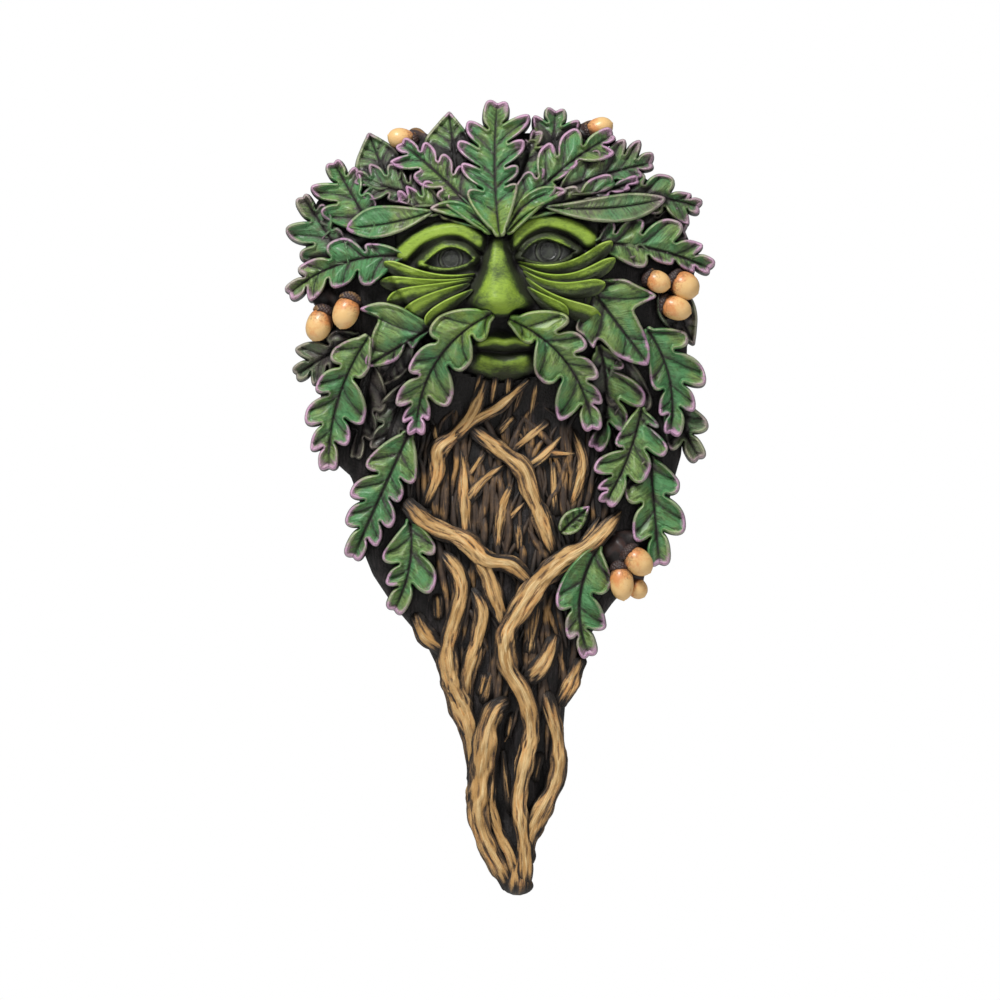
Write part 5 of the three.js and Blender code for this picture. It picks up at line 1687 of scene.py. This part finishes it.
def cup_paint():
    """Dark red-brown cups and twigs, paler where the brush touched the scales."""
    f = Finish("cup_paint", CUP_BROWN)
    groove, side, wash_and_shade, crest = f.marks("groove", "side", "wash_and_shade", "crest")
    patch = f.noise(260, 3, 0.6)
    grit = f.noise(1000, 3, 0.6)
    f.lay(PLUM_GREY, patch, -0.15, 0.2)
    f.lay(ROOT_OCHRE, crest + patch + grit * 0.6, 0.4, 1.0, 0.35)
    # Black with painted shade where the wash gathers and in the folds, and on the near-black sides
    f.lay(SHADE_AND_WASH_BLACK, wash_and_shade + groove * 0.5, 0.2, 1.0, 0.85)
    f.tint(SHADE_AND_WASH_BLACK, side * 0.9)
    return f.finished(0.545 + 0.25 * grit, patch + grit * 0.4, 0.00025, 0.12, 0.3)


def eye_paint():
    """Bare grey eyes with a dark line round iris and pupil, painted shadow under the lids and a painted
    highlight inside the iris.
    """
    f = Finish("eye_paint", EYE_GREY)
    edge, groove, wash_and_shade = f.marks("edge", "groove", "wash_and_shade")
    patch = f.noise(300, 3, 0.6)
    grit = f.noise(1200, 3, 0.6)
    f.lay(GREY_GREEN, patch, -0.2, 0.2, 0.25)
    # Painted highlight inside the iris ring; black rings and painted shadow of the lids, then painted shade
    # where the wash gathers
    f.tint(PALE_EDGE, edge * 0.3)
    f.lay(SHADE_AND_WASH_BLACK, groove + grit * 0.3, 0.2, 0.9, 0.9)
    f.lay(SHADE_AND_WASH_BLACK, wash_and_shade, 0.45, 1.3, 0.8)
    return f.finished(0.45 + 0.2 * grit, grit + patch * 0.5, 0.0002, 0.3, 0.25)


def carve_leaves(paints):
    pieces = []
    for order, spec in enumerate(LEAVES):
        carving = Carving(spec["name"], paints["leaf"])
        carve_leaf(carving, spec, order)
        pieces.append(carving.piece())
    for side in ("left", "right"):
        slim = [row for row in CHEEK_LEAVES if (row[0][0] < 0) == (side == "left")]
        carving = Carving("cheek_leaves_" + side, paints["face"], len(slim))
        for order, (stem, tip, half, bow) in enumerate(slim):
            spec = leaf("cheek", stem, tip, CHEEK_LEAF_LIFT, "frond", (half, half), bow=bow, on_face=True)
            carve_leaf(carving, spec, order)
        pieces.append(carving.piece())
    return pieces


def drawn_out(run, by):
    """A run with both its ends drawn further out."""
    run = np.array(run, float)
    for end, inner in ((0, 1), (-1, -2)):
        run[end] += by * directions(run[end] - run[inner])
    return run


def carve_roots(paints):
    groups = {}
    for row in ROOTS:
        groups.setdefault(row[0], []).append(row[1:])
    pieces = []
    order = 0
    for group, rows in groups.items():
        finish = paints["great_root" if group == "great_root" else "root"]
        carving = Carving("roots_" + group, finish, len(rows))
        for run, radius, lift in rows:
            order += 1
            radius = np.array(radius) * ROOT_SWELL.get(group, 1.12)
            carve_root(carving, drawn_out(run, ROOT_REACH.get(group, 0)), radius, lift, order,
                       ROOT_SHADE.get(group, 0))
        pieces.append(carving.piece())
    return pieces


def drawn_points(piece):
    """The points of a piece on the drawing: x, z and depth."""
    mesh = piece.data
    flat = np.empty(3 * len(mesh.vertices), np.float32)
    mesh.vertices.foreach_get("co", flat)
    x, y, z = flat.reshape(-1, 3).T.astype(float) / UNIT
    return x, z, -y


class Depths:
    """How far the carving stands off the wall over each small square of the drawing."""

    cell = 2.0
    left, low = -230, -620
    columns, rows = 230, 425

    def __init__(self, pieces):
        depth = np.zeros((self.rows, self.columns))
        for piece in pieces:
            x, z, out = drawn_points(piece)
            i = ((z - self.low) / self.cell).astype(int)
            j = ((x - self.left) / self.cell).astype(int)
            np.maximum.at(depth, (i, j), out)
        self.depth = -self.spread(-self.spread(depth))

    def spread(self, depth):
        """The greatest of each square and its eight neighbours."""
        wide = np.pad(depth, 1, mode="edge")
        near = [wide[i:i + self.rows, j:j + self.columns] for i in range(3) for j in range(3)]
        return np.max(near, 0)

    def blurred(self, width):
        """The depths averaged over their surroundings, as far as a width in drawing units."""
        reach = int(3 * width / self.cell)
        return smoothed(self.depth, bell(np.arange(-reach, reach + 1) * self.cell, math.sqrt(2) * width))

    def at(self, field, x, z):
        i = (z - self.low) / self.cell - 0.5
        j = (x - self.left) / self.cell - 0.5
        row, column = np.floor(i).astype(int), np.floor(j).astype(int)
        s, t = i - row, j - column
        return ((1 - s) * ((1 - t) * field[row, column] + t * field[row, column + 1])
                + s * ((1 - t) * field[row + 1, column] + t * field[row + 1, column + 1]))


def mark_shading(pieces):
    """Marks on every piece: dark wash and painted shade, dry brush and painted highlight, nearness to the
    face.
    """
    depths = Depths(pieces)
    near, close, far = (depths.blurred(width) for width in (3, 5, 14))
    for piece in pieces:
        x, z, out = drawn_points(piece)
        # Dark wash and painted shade: the further a place lies below its surroundings, the darker
        deep = 0.6 * np.clip((depths.at(close, x, z) - out) / 9, 0, 1)
        deep += 0.6 * np.clip((depths.at(far, x, z) - out) / 22, 0, 1)
        mark_mesh(piece.data, "wash_and_shade", deep)
        # Dry brush and painted highlight: lighter where a place stands above its surroundings
        mark_mesh(piece.data, "crest", np.clip((out - depths.at(near, x, z)) / 2.5, 0, 1))
        mark_mesh(piece.data, "sun", np.exp(-(np.hypot(x, z - 20) / 90) ** 2))


def make_floor():
    """A pale round floor below the plaque."""
    radius, level, sides = FLOOR
    corners = [(radius * math.cos(turn), radius * math.sin(turn), level)
               for turn in np.linspace(0, 2 * math.pi, sides, endpoint=False)]
    mesh = bpy.data.meshes.new("floor")
    mesh.from_pydata(corners, [], [list(range(sides))])
    finish = bpy.data.materials.new("floor_paint")
    finish.use_nodes = True
    shader = finish.node_tree.nodes["Principled BSDF"]
    shader.inputs["Base Color"].default_value = FLOOR_GREY
    shader.inputs["Roughness"].default_value = 0.8
    mesh.materials.append(finish)
    floor = add_object("floor", mesh)


def aim(thing, at):
    """Turns a lamp or camera towards a point."""
    thing.rotation_euler = (Vector(at) - thing.location).to_track_quat("-Z", "Y").to_euler()


def make_lights():
    world = bpy.data.worlds.new("studio")
    world.use_nodes = True
    tree = world.node_tree
    soft_light = tree.nodes["Background"]
    soft_light.inputs["Color"].default_value = (1, 1, 1, 1)
    soft_light.inputs["Strength"].default_value = SOFT_LIGHT
    backdrop = tree_node(tree, "ShaderNodeBackground", None, {"Color": (1, 1, 1, 1)})[0]
    seen = tree_node(tree, "ShaderNodeLightPath")["Is Camera Ray"]
    either = tree_node(tree, "ShaderNodeMixShader", None, {0: seen, 1: soft_light.outputs[0], 2: backdrop})[0]
    tree.links.new(either, tree.nodes["World Output"].inputs[0])
    bpy.context.scene.world = world
    for name, spot, size, power in LAMPS:
        lamp = bpy.data.lights.new(name, "AREA")
        lamp.size = size
        lamp.energy = power
        holder = add_object(name, lamp)
        holder.location = spot
        aim(holder, (0, 0, -0.05))


def make_camera():
    """Looks straight at the plaque, with half a metre across the picture at the carving."""
    lens = bpy.data.cameras.new("camera")
    lens.sensor_width = 36
    lens.lens = 36 * CAMERA_DISTANCE / PICTURE_WIDTH
    holder = add_object("camera", lens)
    holder.location = (0, -CARVING_PLANE - CAMERA_DISTANCE, PICTURE_CENTRE_Z)
    aim(holder, (0, 0, PICTURE_CENTRE_Z))
    bpy.context.scene.camera = holder
    bpy.context.scene.view_settings.view_transform = "Standard"


paints = {
    "leaf": leaf_paint(),
    "face": face_paint(),
    "root": root_paint("root_paint", 0.0),
    "great_root": root_paint("great_root_paint", 0.1),
    "rootlet": rootlet_paint(),
    "ground": ground_paint(),
    "nut": nut_paint(),
    "cup": cup_paint(),
    "eye": eye_paint(),
}
ground = carve_ground(paints["ground"])
pieces = [ground, carve_face(paints["face"]), carve_knots(paints["cup"])]
for eye, upper, lower in zip(EYES, UPPER_LIDS, LOWER_LIDS):
    pieces.append(carve_eye(eye, upper, lower, paints["eye"]))
pieces += carve_leaves(paints)
pieces += carve_roots(paints)
cup_scales = scale_tree()
for name, acorns in ACORN_CLUSTERS:
    pieces += carve_acorns(name, acorns, paints["nut"], paints["cup"], cup_scales)
pieces.append(rootlets("rootlets", rootlet_runs(ROOTLETS), paints["rootlet"], strand_tree()))
mark_shading(pieces)

for piece in pieces:
    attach(piece, "root")
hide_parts("green_man_plaque")
make_floor()
make_lights()
make_camera()
